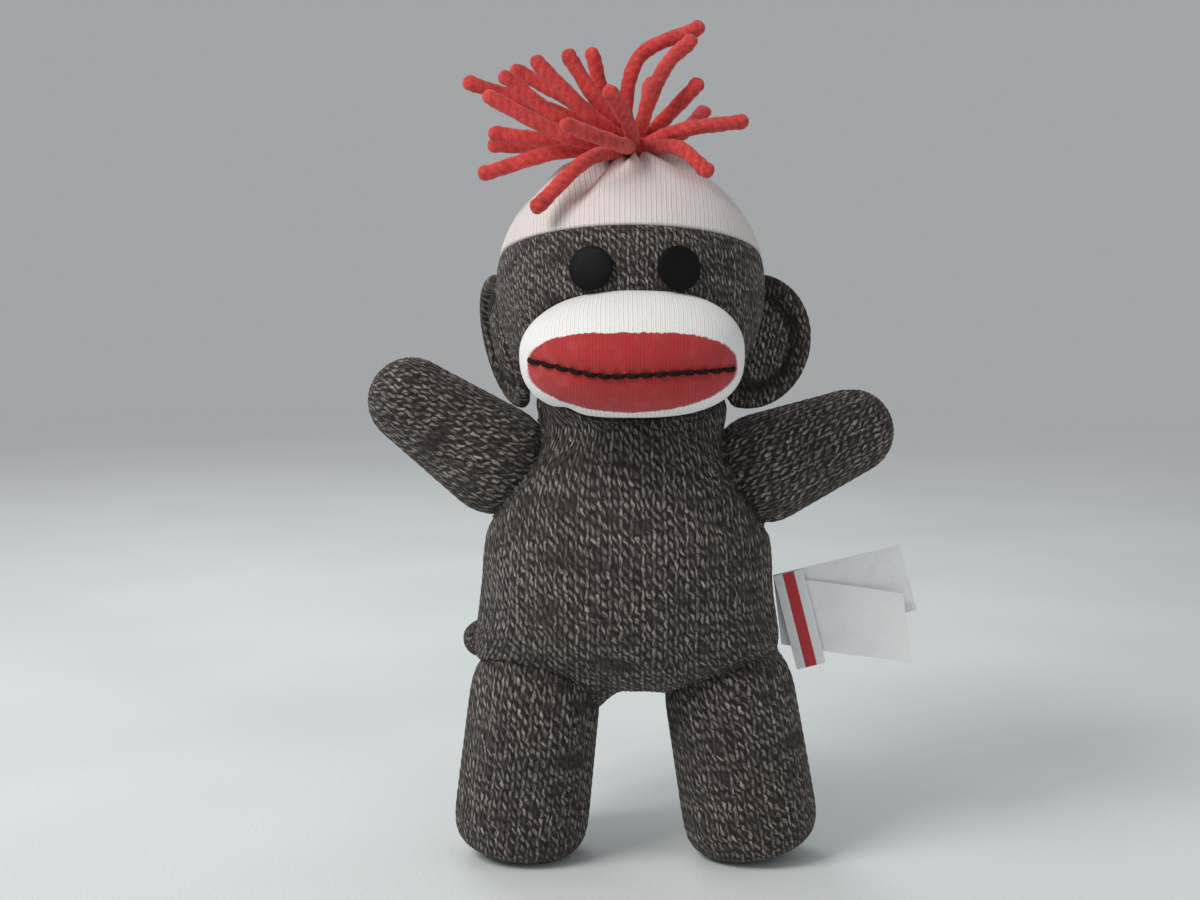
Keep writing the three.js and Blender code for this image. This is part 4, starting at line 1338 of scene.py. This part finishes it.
def ribbon_sheet(name, columns, rows, shape, width, height):
    """A thin closed sheet from a flat grid whose points go where the shape puts them."""
    bpy.ops.object.select_all(action="DESELECT")
    bpy.ops.mesh.primitive_grid_add(x_subdivisions=columns, y_subdivisions=rows, size=2 * mm)
    sheet = bpy.context.object
    sheet.name = name
    sheet.data.name = name
    flat = points_of(sheet)
    across = (flat[:, 0] + 1) / 2 * width
    down = (1 - flat[:, 1]) / 2 * height
    sheet.data.uv_layers[0].name = "weave"
    vertex = read_all(sheet.data.loops, "vertex_index", kind=int)
    values = np.stack([across[vertex], down[vertex]], 1)
    sheet.data.uv_layers[0].data.foreach_set("uv", values.astype(np.float32).ravel())
    move_points(sheet, shape(across, down))
    thicken = sheet.modifiers.new("thickness", "SOLIDIFY")
    thicken.thickness = ribbon_thickness * mm
    thicken.offset = 0
    bpy.ops.object.modifier_apply(modifier=thicken.name)
    bpy.ops.object.shade_smooth_by_angle(angle=math.radians(40))
    return sheet


def tab_shape(across, down):
    """Out to the fold and back, with the fold a small half circle."""
    bend = tab_apart * math.pi
    straight = tab_width - tab_apart
    folded = 2 * straight + bend
    run = across / (2 * tab_width) * folded
    turn = np.clip((run - straight) / tab_apart, 0, math.pi)
    out = np.where(run < straight, run, np.where(run > straight + bend, folded - run, straight))
    out = out + tab_apart * np.sin(turn)
    deep = -tab_apart * np.cos(turn)
    bow = 0.35 * np.sin(down / tab_length * math.pi) * out / tab_width
    local = np.stack([out, deep - bow, -down], 1)
    return local @ np.array(Matrix.Rotation(-tab_tilt, 3, "Y")).T + label_seam


def leaf_shape(tilt, apart, curl, wave, shear):
    def shape(across, down):
        part = across / leaf_width
        low = down / leaf_height
        x = across + low * shear
        y = -curl * part**3 - wave * np.sin(part * 5.0 + low * 1.3) * part * (0.4 + 0.6 * low)
        droop = -0.5 * np.sin(part * math.pi) * low
        local = np.stack([x, y, -down + droop], 1)
        local = local @ np.array(Matrix.Rotation(math.radians(tilt), 3, "Y")).T
        return local + label_seam + np.array([0.0, apart, 0.0])

    return shape


tab = ribbon_sheet("side_ribbon", 60, 24, tab_shape, 2 * tab_width, tab_length)
tab.data.materials.append(woven_ribbon("striped_ribbon", True))
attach(tab, "side_tab")
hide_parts("side_tab")
bare_ribbon = woven_ribbon("bare_ribbon", False)
for name, node, tilt, apart, curl, wave, shear in (
    ("front_leaf", "care_label_front", 7, 1.2, 4.0, 0.5, leaf_shear),
    ("back_leaf", "care_label_back", -14, 2.1, 1.5, 0.35, 0.6),
):
    leaf = ribbon_sheet(name, 60, 30, leaf_shape(tilt, apart, curl, wave, shear), leaf_width, leaf_height)
    leaf.data.materials.append(bare_ribbon)
    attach(leaf, "care_label")
    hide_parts(node)


# Threads and washers
# Brown sewing thread gathers the neck and the roots of the limbs, and a white plastic washer
# behind each eye locks its shank. All of them are hidden once the toy is sewn up.
def brown_thread():
    material, wires, surface = new_material("brown_thread", 0.85)
    body = wires.on_object()
    twist = wires.node("ShaderNodeTexWave", {"bands_direction": "DIAGONAL"},
                       {"Vector": body, "Scale": 420.0, "Distortion": 2.0})
    fibre = wires.noise(body, 2600.0, 2.0)
    shade = (twist * 0.6 + fibre * 0.4).between(0.2, 0.8)
    shade.blend(tone(48, 39, 35), tone(96, 84, 77)).feed(surface, "Base Color")
    wires.bump(twist, 0.2, 0.7).feed(surface, "Normal")
    return material


def washer_plastic():
    material, wires, surface = new_material("washer_plastic", 0.4)
    body = wires.on_object()
    flow = wires.noise(body, 260.0, 3.0)
    flow.between(0.3, 0.7).blend(tone(222, 221, 214), tone(236, 236, 231)).feed(surface, "Base Color")
    (0.35 + flow * 0.2).feed(surface, "Roughness")
    wires.bump(flow, 0.05, 0.4).feed(surface, "Normal")
    return material


def dress(node, material):
    solid = bpy.data.objects[node]
    solid.data.materials.clear()
    solid.data.materials.append(material)


gathering = brown_thread()
for node in ("neck", "right_shoulder", "left_shoulder", "right_hip", "left_hip"):
    dress(f"{node}_stitching", gathering)
washer = washer_plastic()
for node in ("right_eye_washer", "left_eye_washer"):
    dress(node, washer)
